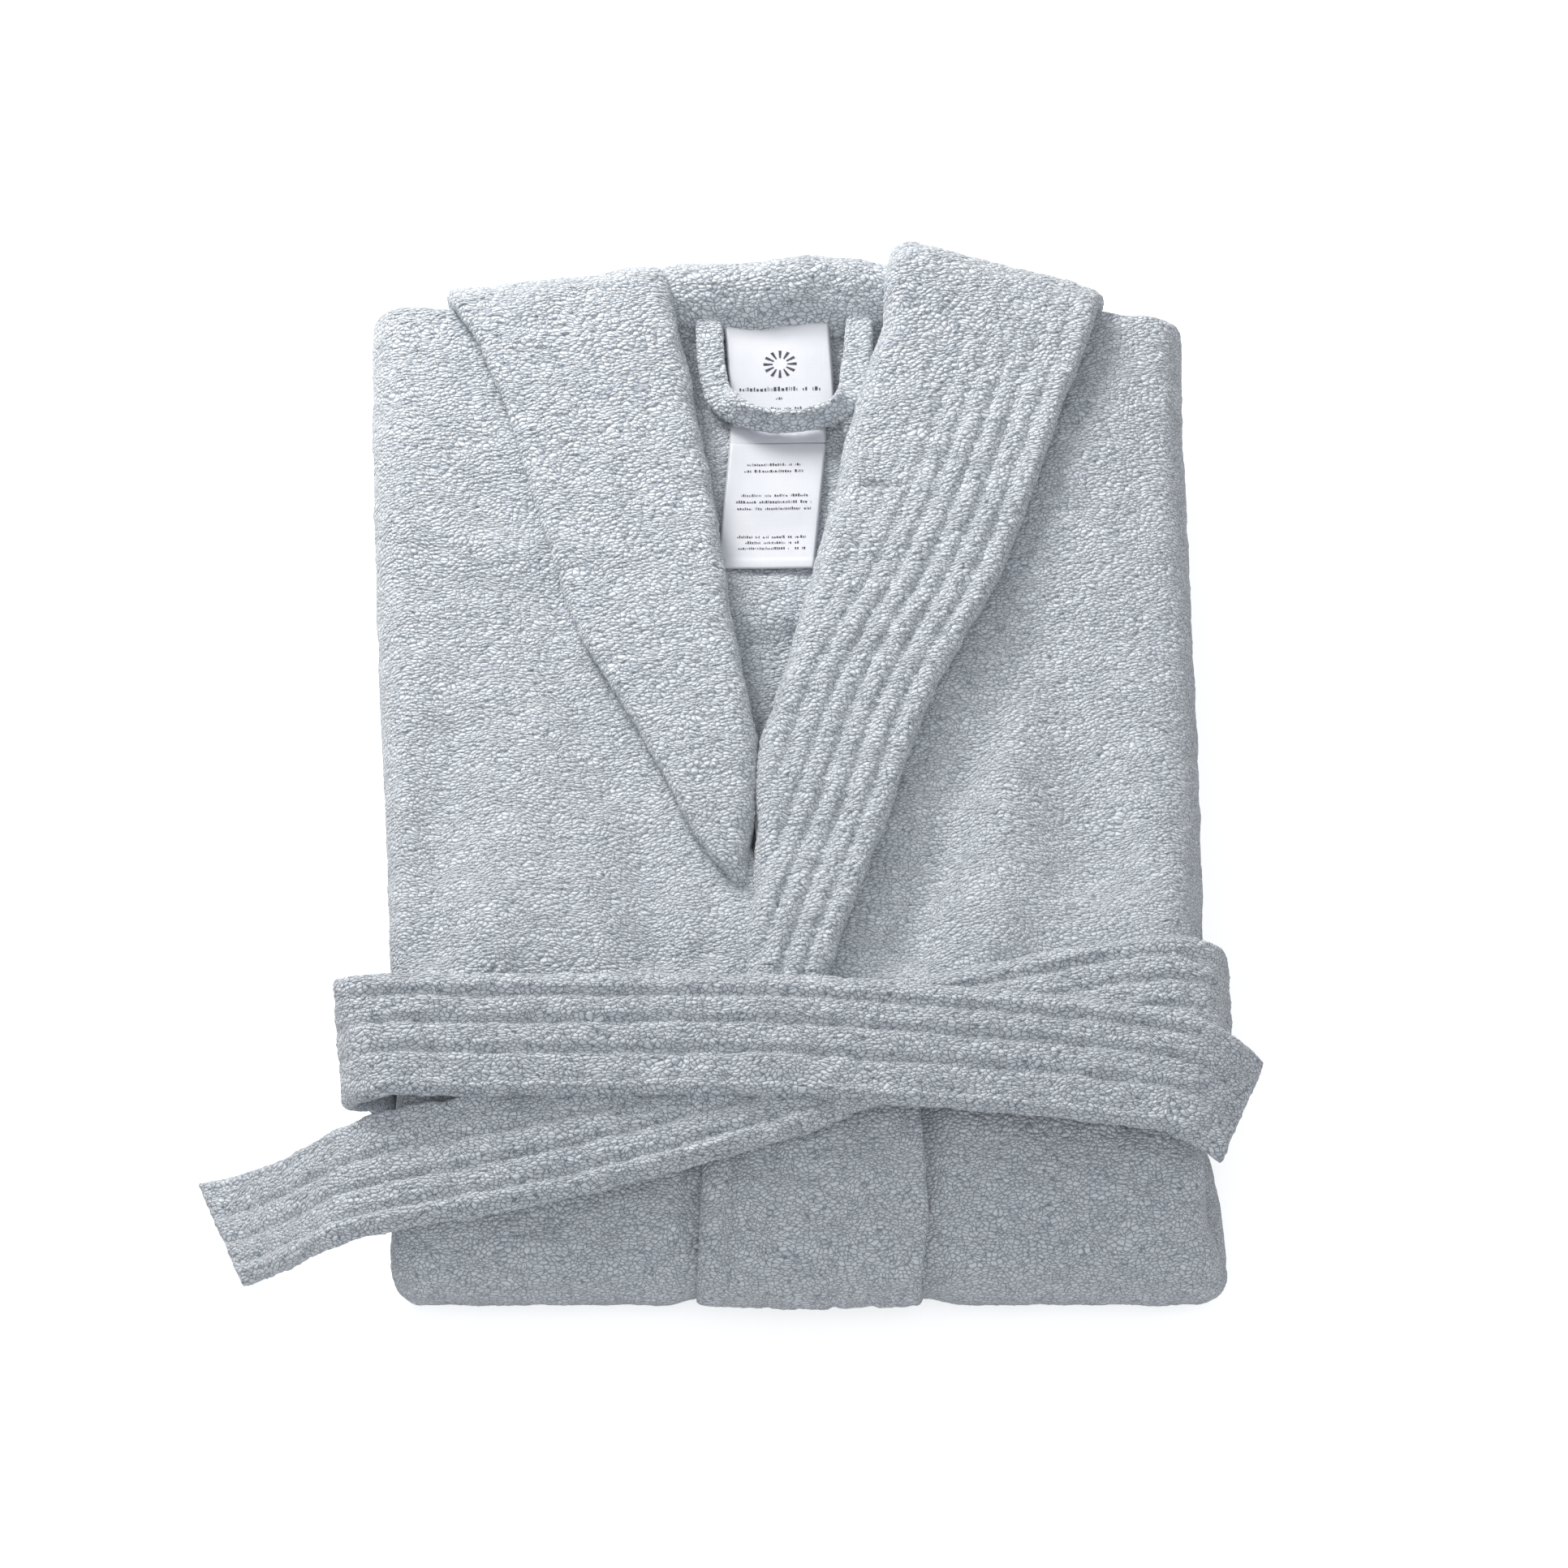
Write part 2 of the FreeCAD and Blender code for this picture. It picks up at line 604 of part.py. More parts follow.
def label_strip(label, start, length, low, centre="Dims.care_centre_x", width="Dims.care_label_width"):
    """A flat satin label inside the neck, from y = start towards the hem."""
    body = new_body(label)
    left, right = f"{centre} - {width} / 2", f"{centre} + {width} / 2"
    outline = rectangle(left, f"{start} - {length}", right, start)
    pad(body, sketch(body, "XY_Plane", outline, low), "Dims.label_thick")
    return body


def hanging_loop():
    """The hanging loop: two legs from the neck seam and the bar across them."""
    body = new_body("hanging_loop")
    left, right = "Dims.neck_centre_x - Dims.loop_width / 2", "Dims.neck_centre_x + Dims.loop_width / 2"
    strip, far, taper = "Dims.loop_strip", "Dims.neck_seam_y", "Dims.loop_taper"
    low, bar = f"({far} - Dims.loop_length)", f"({far} - Dims.loop_length + Dims.loop_thick + 4)"
    outline = [
        (left, far),
        (f"{left} + {taper}", low),
        (f"{right} - {taper}", low),
        (right, far),
        (f"{right} - {strip}", far),
        (f"{right} - {strip} - {taper}", bar),
        (f"{left} + {strip} + {taper}", bar),
        (f"{left} + {strip}", far),
    ]
    pad(body, sketch(body, "XY_Plane", outline, LOOP_LOW), "Dims.loop_thick")
    return body


def export():
    """Checks every sub-part and writes it as its own STEP file."""
    document.recompute()
    for item in document.Objects:
        if "Invalid" in item.State or "Error" in item.State:
            raise RuntimeError(f"{item.Label} failed to recompute: {item.State}")
    os.makedirs("parts", exist_ok=True)
    for part in parts:
        shape = part.Shape
        if shape.isNull() or not shape.isValid() or len(shape.Solids) != 1:
            raise RuntimeError(f"{part.Label} is not one valid solid")
        part.Placement = Placement(Vector(0, 0, 0), Rotation())
        part.Shape.exportStep(f"parts/{part.Label}.step")


front_panel("front_panel_left", 1)
front_panel("front_panel_right", -1)
back_panel()
left_band()
right_band()
neck_collar()
sleeve("sleeve_left", 1)
sleeve("sleeve_right", -1)
cuff("cuff_left", 1)
cuff("cuff_right", -1)
patch_pocket("pocket_left", 1)
patch_pocket("pocket_right", -1)
belt_carrier("belt_carrier_left", 1)
belt_carrier("belt_carrier_right", -1)
belt_wrap()
belt_end()
belt_tail()
tab_length = "(Dims.neck_seam_y - Dims.care_bend_y)"
label_strip("care_label_tab", "Dims.neck_seam_y", tab_length, CARE_LOW)
flap_length = f"(Dims.care_label_length - {tab_length} - {GAP})"
label_strip("care_label", f"(Dims.care_bend_y - {GAP})", flap_length, CARE_LOW)
brand_place = ("Dims.neck_centre_x", "Dims.label_width")
label_strip("brand_label", "Dims.neck_seam_y", "Dims.brand_label_length", BRAND_LOW, *brand_place)
hanging_loop()
export()
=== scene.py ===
import math

import bpy
import numpy as np
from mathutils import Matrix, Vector, noise


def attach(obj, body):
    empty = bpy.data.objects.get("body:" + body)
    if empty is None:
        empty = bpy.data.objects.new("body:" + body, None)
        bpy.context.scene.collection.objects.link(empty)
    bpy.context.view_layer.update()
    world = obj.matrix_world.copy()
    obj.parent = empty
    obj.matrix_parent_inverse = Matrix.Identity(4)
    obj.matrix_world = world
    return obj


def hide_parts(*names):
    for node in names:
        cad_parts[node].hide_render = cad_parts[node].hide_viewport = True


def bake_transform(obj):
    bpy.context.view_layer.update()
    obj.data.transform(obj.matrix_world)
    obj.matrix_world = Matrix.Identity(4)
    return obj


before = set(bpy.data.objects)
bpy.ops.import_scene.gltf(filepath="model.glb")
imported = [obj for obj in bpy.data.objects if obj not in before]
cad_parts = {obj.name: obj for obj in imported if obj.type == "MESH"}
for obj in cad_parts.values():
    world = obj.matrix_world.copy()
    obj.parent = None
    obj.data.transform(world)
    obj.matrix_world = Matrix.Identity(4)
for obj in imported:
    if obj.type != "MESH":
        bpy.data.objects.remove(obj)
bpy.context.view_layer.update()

# Everything below is worked out in millimetres and written to the meshes in metres.
MM = 0.001
# Mesh spacing of the body, and of the lapels, neck collar and belt.
FINE = 1.8
TRIM = 1.45
# The bundle: half its width, the radius of its side folds, its ends, its nose and its height.
HALF_WIDTH, SIDE_RADIUS = 202.0, 16.8
SHOULDER_Y, HEM_Y = 279.0, 262.0
NOSE_Y, NOSE_RADIUS, HEIGHT = -228.0, 31.0, 96.0
# The crown is the wide arc that leads from the flat top into the nose.
CROWN = (HEIGHT - NOSE_RADIUS * (1 + math.sin(math.pi / 4))) / (1 - math.cos(math.pi / 4))
CROWN_Y = NOSE_Y + (CROWN - NOSE_RADIUS) * math.sin(math.pi / 4)
FRONT_THICK, BACK_THICK, SLEEVE_THICK, CUFF_THICK, LAPEL_THICK = 9.0, 7.2, 8.0, 5.0, 10.0
BACK_DEPTH = 9.4
BELT_WIDTH, LOOP_WIDTH = 64, 14
GRAIN_SCALE, GRAIN_RELIEF = 360.0, 0.0017
FLOOR_GAP, FLOOR_GLOW, SKY_STRENGTH = 0.0008, 0.62, 0.5
CAMERA_RISE, CAMERA_DISTANCE = math.radians(56), 8.59


def smooth(low, high, x):
    """0 below low, 1 above high, and a smooth step between them."""
    t = np.clip((np.asarray(x, float) - low) / (high - low), 0, 1)
    return t * t * (3 - 2 * t)


def curve(points, count=None, spacing=None):
    """Points spread evenly along a smooth line through the given ones."""
    p = np.asarray(points, float)
    chord = np.concatenate([[0], np.cumsum(np.linalg.norm(np.diff(p, axis=0), axis=1) ** 0.5)])
    slope = np.gradient(p, chord, axis=0)
    t = np.linspace(0, chord[-1], 600)
    i = np.clip(np.searchsorted(chord, t, side="right") - 1, 0, len(p) - 2)
    h = (chord[i + 1] - chord[i])[:, None]
    u = ((t - chord[i]) / (chord[i + 1] - chord[i]))[:, None]
    line = (
        (2 * u**3 - 3 * u**2 + 1) * p[i]
        + (u**3 - 2 * u**2 + u) * h * slope[i]
        + (3 * u**2 - 2 * u**3) * p[i + 1]
        + (u**3 - u**2) * h * slope[i + 1]
    )
    gone = np.concatenate([[0], np.cumsum(np.linalg.norm(np.diff(line, axis=0), axis=1))])
    if count is None:
        at = spread(gone[-1], spacing)
    else:
        at = np.linspace(0, gone[-1], count)
    return np.stack([np.interp(at, gone, line[:, k]) for k in range(p.shape[1])], axis=1)


def spread(length, spacing, edge=4.5):
    """Distances from 0 to length, closer together near both ends, where an edge rounds over."""
    ends = edge * (1 - np.cos(np.linspace(0, math.pi / 2, 5)))
    count = max(2, int(round((length - 2 * edge) / spacing)) + 1)
    middle = np.linspace(edge, length - edge, count)
    return np.concatenate([ends[:-1], middle, (length - ends[::-1])[1:]])


def along(grid, axis):
    """Distance walked along one axis of a grid of points."""
    step = np.linalg.norm(np.diff(grid, axis=axis), axis=2)
    zero = np.zeros((1, grid.shape[1]) if axis == 0 else (grid.shape[0], 1))
    return np.concatenate([zero, np.cumsum(step, axis=axis)], axis=axis)


def normals_of(grid):
    """Unit normals of a grid of points."""
    n = np.cross(np.gradient(grid, axis=0), np.gradient(grid, axis=1))
    return n / np.maximum(np.linalg.norm(n, axis=2, keepdims=True), 1e-9)


# Soft rises and hollows in the chest: start x, y, end x, y, half width and height.
# Each one dies out towards its end.
SWELLS = [
    (58, -100, 82, -8, 14, -9.5),
    (84, -4, 120, 88, 14, -4.5),
    (102, -104, 116, 30, 17, 6.0),
    (148, -60, 122, 130, 22, -7.0),
    (184, -95, 176, 60, 15, 3.0),
    (-170, -100, -167, 40, 14, -7.0),
    (-138, -100, -124, 20, 18, 3.5),
    (-60, -104, -78, -4, 16, -9.0),
    (-84, -4, -118, 90, 16, -4.0),
    (-34, -102, -32, -58, 8, -2.0),
    (-48, -104, -56, -60, 7, 2.5),
    (-110, 90, -150, 200, 18, -2.0),
    (140, 180, 165, 262, 18, 2.0),
    (-185, 150, -175, 262, 20, 2.0),
    (-120, 130, -178, 140, 9, 1.6),
    (-112, 105, -170, 112, 9, -1.6),
]


def swell(x, y):
    """How far the soft top stands above its level at a point in plan."""
    total = 1.6 * np.sin(x * 0.021 + 1.3) * np.sin(y * 0.017 + 0.4)
    for x0, y0, x1, y1, wide, high in SWELLS:
        dx, dy = x1 - x0, y1 - y0
        t = np.clip(((x - x0) * dx + (y - y0) * dy) / (dx * dx + dy * dy), 0, 1)
        near = ((x - x0 - t * dx) ** 2 + (y - y0 - t * dy) ** 2) / wide**2
        total = total + high * (1 - 0.8 * t * t) * np.exp(-near)
    total = total + 2.5 * np.exp(-(((y + 84) / 26) ** 2)) - 3.0 * np.exp(-(((y + 158) / 30) ** 2))
    return total * smooth(-262, -205, y)


def settle(p, sides=True):
    """Moves points of the bundle into the soft shape that the folded robe takes."""
    x, y, z = p[..., 0].copy(), p[..., 1].copy(), p[..., 2].copy()
    high = np.clip((z - 55) / 40, 0, 1.1)
    low = np.clip(1 - z / 34, 0, 1)
    if sides:
        left = -smooth(110, 195, -x) * (smooth(272, -200, y) * 15.0 - 2.0)
        right = smooth(110, 190, x) * (smooth(260, -60, y) * 6.0 - 5.0)
        under = smooth(120, 195, x) * smooth(60, 20, z) * smooth(-120, -230, y) * 11
        x = x - left + right + under
        waist = np.exp(-(((y + 158) / 40) ** 2))
        x = x - np.sign(x) * 3.0 * waist * smooth(150, 195, np.abs(x))
        z = z + low * (7.6 * channel(x, y) + 3.8 * pocket_place(x, y))
    z = z + high * swell(x, y)
    y = y + smooth(230, 280, y) * (-1.5 + 3.0 * np.sin(x * 0.016 - 0.8) - 6.0 * smooth(140, 170, x))
    return np.stack([x, y, z], axis=-1)


def channel(x, y):
    """1 where the belt presses into the underside."""
    return smooth(38, 33, np.abs(y + 128))


POCKETS = [(76, 180, -96, 74), (-166, -62, -96, 74)]


def pocket_place(x, y):
    """1 where a patch pocket is let into the underside."""
    place = 0
    for x0, x1, y0, y1 in POCKETS:
        across = smooth(x0 - 3, x0, x) * smooth(x1 + 3, x1, x)
        place = place + across * smooth(y0 - 3, y0, y) * smooth(y1 + 3, y1, y)
    return place


def pile(points, normals, depth):
    """Raises the terry's loops out of a surface, as bumps a few millimetres apart."""
    out = np.empty(len(points))
    for i, p in enumerate(points):
        v = Vector(p)
        loop = noise.voronoi(Vector((v.x / 2.7, v.y / 2.2, v.z / 2.4)))[0][0]
        out[i] = 0.8 * (0.45 - loop) + 0.4 * noise.noise(v / 7) + 0.9 * noise.noise(v / 17)
    return points + normals * (out * depth)[:, None]


def above_floor(z):
    """Flattens a soft underside where it rests on the floor, keeping its layers in order."""
    return np.where(z < 1.5, 0.1 + 1.4 * np.exp((z - 1.5) / 1.4), z)


def vertex_normals(points, quads):
    """Normals of a quad mesh at its points."""
    a = points[quads[:, 2]] - points[quads[:, 0]]
    b = points[quads[:, 3]] - points[quads[:, 1]]
    n = np.cross(a, b)
    total = np.zeros_like(points)
    for k in range(4):
        np.add.at(total, quads[:, k], n)
    return total / np.maximum(np.linalg.norm(total, axis=1, keepdims=True), 1e-12)


def cloth(name, middle, thick, material, relief=None, depth=1.0, soft=True, sides=True):
    """A closed sheet of cloth round a middle surface, with rounded edges and a raised pile."""
    rows, columns = middle.shape[:2]
    s, w = along(middle, 0), along(middle, 1)
    edge = np.minimum(np.minimum(s, s[-1:] - s), np.minimum(w, w[:, -1:] - w))
    half = np.broadcast_to(np.asarray(thick, float) / 2, edge.shape)
    rounded = np.sqrt(np.clip(1 - (1 - np.clip(edge / half, 0, 1)) ** 2, 0, 1))
    n = normals_of(middle)
    raised = half * rounded
    lift = 0 if relief is None else relief * smooth(0, 4, edge)
    top = middle + n * (raised + lift)[..., None]
    bottom = middle - n * raised[..., None]
    if soft:
        top, bottom = settle(top, sides), settle(bottom, sides)
    inside = np.zeros((rows, columns), bool)
    inside[1:-1, 1:-1] = True
    upper = np.arange(rows * columns).reshape(rows, columns)
    lower = upper.copy()
    lower[inside] = rows * columns + np.arange(inside.sum())
    points = np.concatenate([top.reshape(-1, 3), bottom[inside]])
    quads = []
    for grid, turn in ((upper, False), (lower, True)):
        q = [grid[:-1, :-1], grid[1:, :-1], grid[1:, 1:], grid[:-1, 1:]]
        q = np.stack(q[::-1] if turn else q, axis=-1).reshape(-1, 4)
        quads.append(q)
    quads = np.concatenate(quads)
    if depth:
        points = pile(points, vertex_normals(points, quads), depth)
    points[:, 2] = above_floor(points[:, 2])
    return solid(name, points, quads, material)


def solid(name, points, quads, material):
    """A smooth-shaded mesh object from points in millimetres."""
    mesh = bpy.data.meshes.new(name)
    mesh.from_pydata((points * MM).tolist(), [], quads.tolist())
    mesh.polygons.foreach_set("use_smooth", np.ones(len(mesh.polygons), bool))
    mesh.materials.append(material)
    made = bpy.data.objects.new(name, mesh)
    bpy.context.scene.collection.objects.link(made)
    return made


def finish_piece(piece, nodes, body="robe"):
    """Ties a piece to its body and hides the CAD nodes that it stands in for."""
    if body:
        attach(piece, body)
    if nodes:
        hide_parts(*nodes)
    return piece


# ---------------------------------------------------------------- materials


def tree_of(name):
    """A new node material and what is needed to wire it."""
    material = bpy.data.materials.new(name)
    material.use_nodes = True
    nodes, links = material.node_tree.nodes, material.node_tree.links
    return material, nodes, links, nodes["Principled BSDF"]


def node(nodes, links, kind, settings=(), **inputs):
    """A shader node with its settings, values and incoming links."""
    made = nodes.new(kind)
    for key, value in dict(settings).items():
        setattr(made, key, value)
    for key, value in inputs.items():
        socket = made.inputs[int(key[1:])] if key[0] == "i" and key[1:].isdigit() else made.inputs[key]
        if isinstance(value, bpy.types.NodeSocket):
            links.new(value, socket)
        else:
            socket.default_value = value
    return made


def multiply(nodes, links, a, b):
    """Two colours multiplied; the result's socket."""
    made = nodes.new("ShaderNodeMix")
    made.data_type, made.blend_type = "RGBA", "MULTIPLY"
    for socket, value in ((made.inputs[0], 1.0), (made.inputs[6], a), (made.inputs[7], b)):
        if isinstance(value, bpy.types.NodeSocket):
            links.new(value, socket)
        else:
            socket.default_value = value
    return made.outputs[2]


def ramp(nodes, links, value, stops):
    """A colour ramp over a value; its colour socket."""
    made = nodes.new("ShaderNodeValToRGB")
    while len(made.color_ramp.elements) < len(stops):
        made.color_ramp.elements.new(0.5)
    for element, (place, color) in zip(made.color_ramp.elements, stops):
        element.position = place
        element.color = (*color, 1) if len(color) == 3 else color
    links.new(value, made.inputs[0])
    return made.outputs[0]


def terry(name, light, dark, size=1.0, contrast=1.0):
    """Cotton terry: short twisted loops that lie like grains of rice, with painted shade between them."""
    material, nodes, links, shader = tree_of(name)
    place = nodes.new("ShaderNodeTexCoord").outputs["Object"]
    drift = node(nodes, links, "ShaderNodeTexNoise", Vector=place, Scale=55.0, Detail=2.0)
    bent = node(nodes, links, "ShaderNodeVectorMath", {"operation": "MULTIPLY_ADD"},
                i0=drift.outputs["Color"])
    bent.inputs[1].default_value = (0.009, 0.009, 0.009)
    links.new(place, bent.inputs[2])
    stretched = node(nodes, links, "ShaderNodeMapping", Vector=bent.outputs[0])
    stretched.inputs["Scale"].default_value = (1.0, 1.75, 1.4)
    stretched.inputs["Rotation"].default_value = (0.0, 0.0, 0.35)
    cells = {"Vector": stretched.outputs[0], "Scale": GRAIN_SCALE / size, "Randomness": 1.0}
    grain = node(nodes, links, "ShaderNodeTexVoronoi", {"feature": "F1"}, **cells)
    edge = node(nodes, links, "ShaderNodeTexVoronoi", {"feature": "DISTANCE_TO_EDGE"}, **cells)
    fibre = node(nodes, links, "ShaderNodeTexNoise", Vector=bent.outputs[0], Scale=900.0 / size, Detail=3.0)
    tuft = node(nodes, links, "ShaderNodeTexNoise", Vector=place, Scale=130.0 / size, Detail=3.0,
                Roughness=0.6)
    broad = node(nodes, links, "ShaderNodeTexNoise", Vector=place, Scale=14.0, Detail=2.0)
    # Painted shade: the base colour darkens towards each cell's edge, where shadow falls between the loops;
    # contrast sets how deep it goes.
    gap_shade = ramp(nodes, links, edge.outputs["Distance"], [
        (0.0, (1 - 0.62 * contrast, 1 - 0.60 * contrast, 1 - 0.57 * contrast)),
        (0.09, (0.84 - 0.03 * contrast,) * 3),
        (0.19, (1.0, 1.0, 1.0)),
    ])
    each = node(nodes, links, "ShaderNodeSeparateColor", Color=grain.outputs["Color"])
    lit = ramp(nodes, links, each.outputs[0], [(0.0, (0.80, 0.81, 0.83)), (0.5, (1.0, 1.0, 1.0))])
    # The painted gap shade is multiplied by each grain's own random tone.
    gap_shade = multiply(nodes, links, gap_shade, lit)
    tone = ramp(nodes, links, tuft.outputs["Fac"], [(0.25, dark), (0.5, light)])
    wide = ramp(nodes, links, broad.outputs["Fac"], [(0.3, (0.95, 0.955, 0.96)), (0.7, (1.0, 1.0, 1.0))])
    color = multiply(nodes, links, tone, gap_shade)
    color = multiply(nodes, links, color, wide)
    links.new(color, shader.inputs["Base Color"])
    rough = node(nodes, links, "ShaderNodeMapRange", Value=tuft.outputs["Fac"])
    rough.inputs["To Min"].default_value, rough.inputs["To Max"].default_value = 0.86, 1.0
    links.new(rough.outputs[0], shader.inputs["Roughness"])
    height = node(nodes, links, "ShaderNodeMath", {"operation": "MULTIPLY_ADD"}, i0=fibre.outputs["Fac"])
    height.inputs[1].default_value = 0.25
    down = node(nodes, links, "ShaderNodeMath", {"operation": "MULTIPLY"}, i0=grain.outputs["Distance"])
    down.inputs[1].default_value = -1.0
    links.new(down.outputs[0], height.inputs[2])
    bump = node(nodes, links, "ShaderNodeBump", Height=height.outputs[0], Strength=1.0, Distance=GRAIN_RELIEF)
    links.new(bump.outputs[0], shader.inputs["Normal"])
    shader.inputs["Specular IOR Level"].default_value = 0.15
    shader.inputs["Sheen Weight"].default_value = 0.6
    shader.inputs["Sheen Roughness"].default_value = 0.4
    return material


def satin(name):
    """Woven white satin with a fine cross weave and a soft gloss."""
    material, nodes, links, shader = tree_of(name)
    place = nodes.new("ShaderNodeTexCoord").outputs["Object"]
    warp = node(nodes, links, "ShaderNodeTexWave", {"bands_direction": "X"}, Vector=place, Scale=520.0,
                Distortion=0.6)
    weft = node(nodes, links, "ShaderNodeTexWave", {"bands_direction": "Y"}, Vector=place, Scale=390.0,
                Distortion=0.6)
    cross = node(nodes, links, "ShaderNodeMath", {"operation": "MULTIPLY"}, i0=warp.outputs["Fac"],
                 i1=weft.outputs["Fac"])
    soft = node(nodes, links, "ShaderNodeTexNoise", Vector=place, Scale=35.0, Detail=2.0)
    base = ramp(nodes, links, soft.outputs["Fac"], [(0.3, (0.73, 0.74, 0.79)), (0.65, (0.79, 0.80, 0.84))])
    thread = ramp(nodes, links, cross.outputs[0], [(0.0, (0.95, 0.95, 0.96)), (0.6, (1.0, 1.0, 1.0))])
    links.new(multiply(nodes, links, base, thread), shader.inputs["Base Color"])
    bump = node(nodes, links, "ShaderNodeBump", Height=cross.outputs[0], Strength=0.25, Distance=0.0003)
    links.new(bump.outputs[0], shader.inputs["Normal"])
    shader.inputs["Roughness"].default_value = 0.42
    shader.inputs["Sheen Weight"].default_value = 0.1
    return material


def ink(name):
    """Grey thread of the label's print."""
    material, nodes, links, shader = tree_of(name)
    place = nodes.new("ShaderNodeTexCoord").outputs["Object"]
    worn = node(nodes, links, "ShaderNodeTexNoise", Vector=place, Scale=900.0, Detail=2.0)
    color = ramp(nodes, links, worn.outputs["Fac"], [(0.3, (0.02, 0.022, 0.03)), (0.7, (0.07, 0.07, 0.09))])
    links.new(color, shader.inputs["Base Color"])
    shader.inputs["Roughness"].default_value = 0.7
    return material


# The contrast argument sets how dark the painted shade between the loops is for each material.
TERRY = terry("terry_body", (0.86, 0.90, 0.945), (0.80, 0.85, 0.90), contrast=1.1)
BELT = terry("terry_belt", (0.86, 0.90, 0.945), (0.80, 0.85, 0.90), size=1.05, contrast=1.25)
LAPEL = terry("terry_collar", (0.865, 0.905, 0.95), (0.805, 0.855, 0.905), size=1.1, contrast=1.15)
SATIN = satin("satin_label")
INK = ink("label_print")


# ---------------------------------------------------------------- the bundle


def side_line(count_top, count_under):
    """The side profile: y, z and outward normal, from the shoulder round the nose to the hem."""
    turn = math.radians(45)
    low_y = NOSE_Y - NOSE_RADIUS * math.cos(turn)
    flat = SHOULDER_Y - CROWN_Y
    lengths = [flat, CROWN * turn, NOSE_RADIUS * math.radians(135), HEM_Y - NOSE_Y]
    top = spread(sum(lengths[:3]), count_top)
    top = top[top < sum(lengths[:3]) - 0.1]
    under = sum(lengths[:3]) + spread(lengths[3], count_under)
    under = under[under > sum(lengths[:3]) + 8]
    line = []
    for s in np.concatenate([top, under]):
        if s < lengths[0]:
            line.append((SHOULDER_Y - s, HEIGHT, 0, 1))
            continue
        s -= lengths[0]
        if s < lengths[1]:
            a = s / CROWN
            line.append((CROWN_Y - CROWN * math.sin(a), HEIGHT - CROWN * (1 - math.cos(a)),
                         -math.sin(a), math.cos(a)))
            continue
        s -= lengths[1]
        if s < lengths[2]:
            a = turn + s / NOSE_RADIUS
            line.append((NOSE_Y - NOSE_RADIUS * math.sin(a), NOSE_RADIUS * (1 + math.cos(a)),
                         -math.sin(a), math.cos(a)))
            continue
        line.append((NOSE_Y + s - lengths[2], 0.0, 0, -1))
    return np.array(line)


def wrapped_layer(side, depth, thick, inner, wing, spacing, under_spacing, dip=None):
    """A layer's middle surface: from its inner edge out to the rolled side and back along its wing."""
    line = side_line(spacing, under_spacing)
    deep = depth + thick / 2
    radius = SIDE_RADIUS - deep
    edge = HALF_WIDTH - SIDE_RADIUS
    inner_x = inner(line[:, 0], line[:, 1])
    widest = edge - inner_x.min() * side if side == 1 else edge + inner_x.max()
    flat = spread(abs(widest), spacing)
    flat = flat / flat[-1]
    flat = flat[:-4]
    roll = np.linspace(0, math.pi, max(8, int(math.pi * radius / spacing)) + 1)
    fold = spread(edge - wing, under_spacing * 1.3)
    fold = fold[4:] / fold[-1]
    squeeze = 1 - 0.16 * smooth(-190, -235, line[:, 0])
    rows = []
    for (y, z, ny, nz), x_in, tight in zip(line, inner_x, squeeze):
        x_flat = side * x_in + (edge - side * x_in) * flat
        x = np.concatenate([x_flat, edge + radius * np.sin(roll), edge + (wing - edge) * fold])
        down = np.concatenate([np.full(len(flat), deep), SIDE_RADIUS - radius * np.cos(roll),
                               np.full(len(fold), SIDE_RADIUS + radius)])
        if dip is not None:
            down = down + np.where(x < edge, dip(side * x, y, z), 0) * (down < deep + 1)
        down = down * tight
        rows.append(np.stack([side * x, y - ny * down, z - nz * down], axis=1))
    return np.array(rows)[:, ::side]


LEFT_ROLL = [(54, 300), (50, 272), (49, 246), (31, 160), (6, 70), (-4, 34), (-12, -40), (-17, -104),
             (-18, -140)]
RIGHT_ROLL = [(-58, 300), (-52, 272), (-47, 238), (-37, 184), (-28, 120), (-12, 4), (-17, -50), (-20, -104),
              (-20, -140)]


def roll_x(points, y):
    """Where a collar's roll line crosses a level of y."""
    p = np.array(sorted(points, key=lambda q: q[1]), float)
    return np.interp(y, p[:, 1], p[:, 0])


def left_inner(y, z):
    """The left front's inner edge: beside its roll line on the chest, and under the band below the belt."""
    chest = roll_x(LEFT_ROLL, y) + 6
    on_top = (z > 60) & (y > -128)
    return np.where(on_top, chest, 62.0)


def right_inner(y, z):
    """The right front's inner edge: beside its roll line on the chest, and past the middle below the belt."""
    chest = roll_x(RIGHT_ROLL, y) - 6 + 14 * smooth(-25, -60, y)
    on_top = (z > 60) & (y > -128)
    return np.where(on_top, chest, -14.0)


def under_band(x, y, z):
    """The right front dips where the left band lies over it."""
    lower = (y < -122) | (z < 60)
    return np.where(lower, (3.6 + 2.0 * smooth(40, 60, z)) * smooth(-56, -42, x), 0)


def beside_band(x, y, z):
    """The left front dips along the band's seam, most of all at mid height."""
    lower = (y < -122) | (z < 60)
    return np.where(lower, (4.0 + 2.0 * smooth(30, 60, z)) * smooth(84, 68, x), 0)


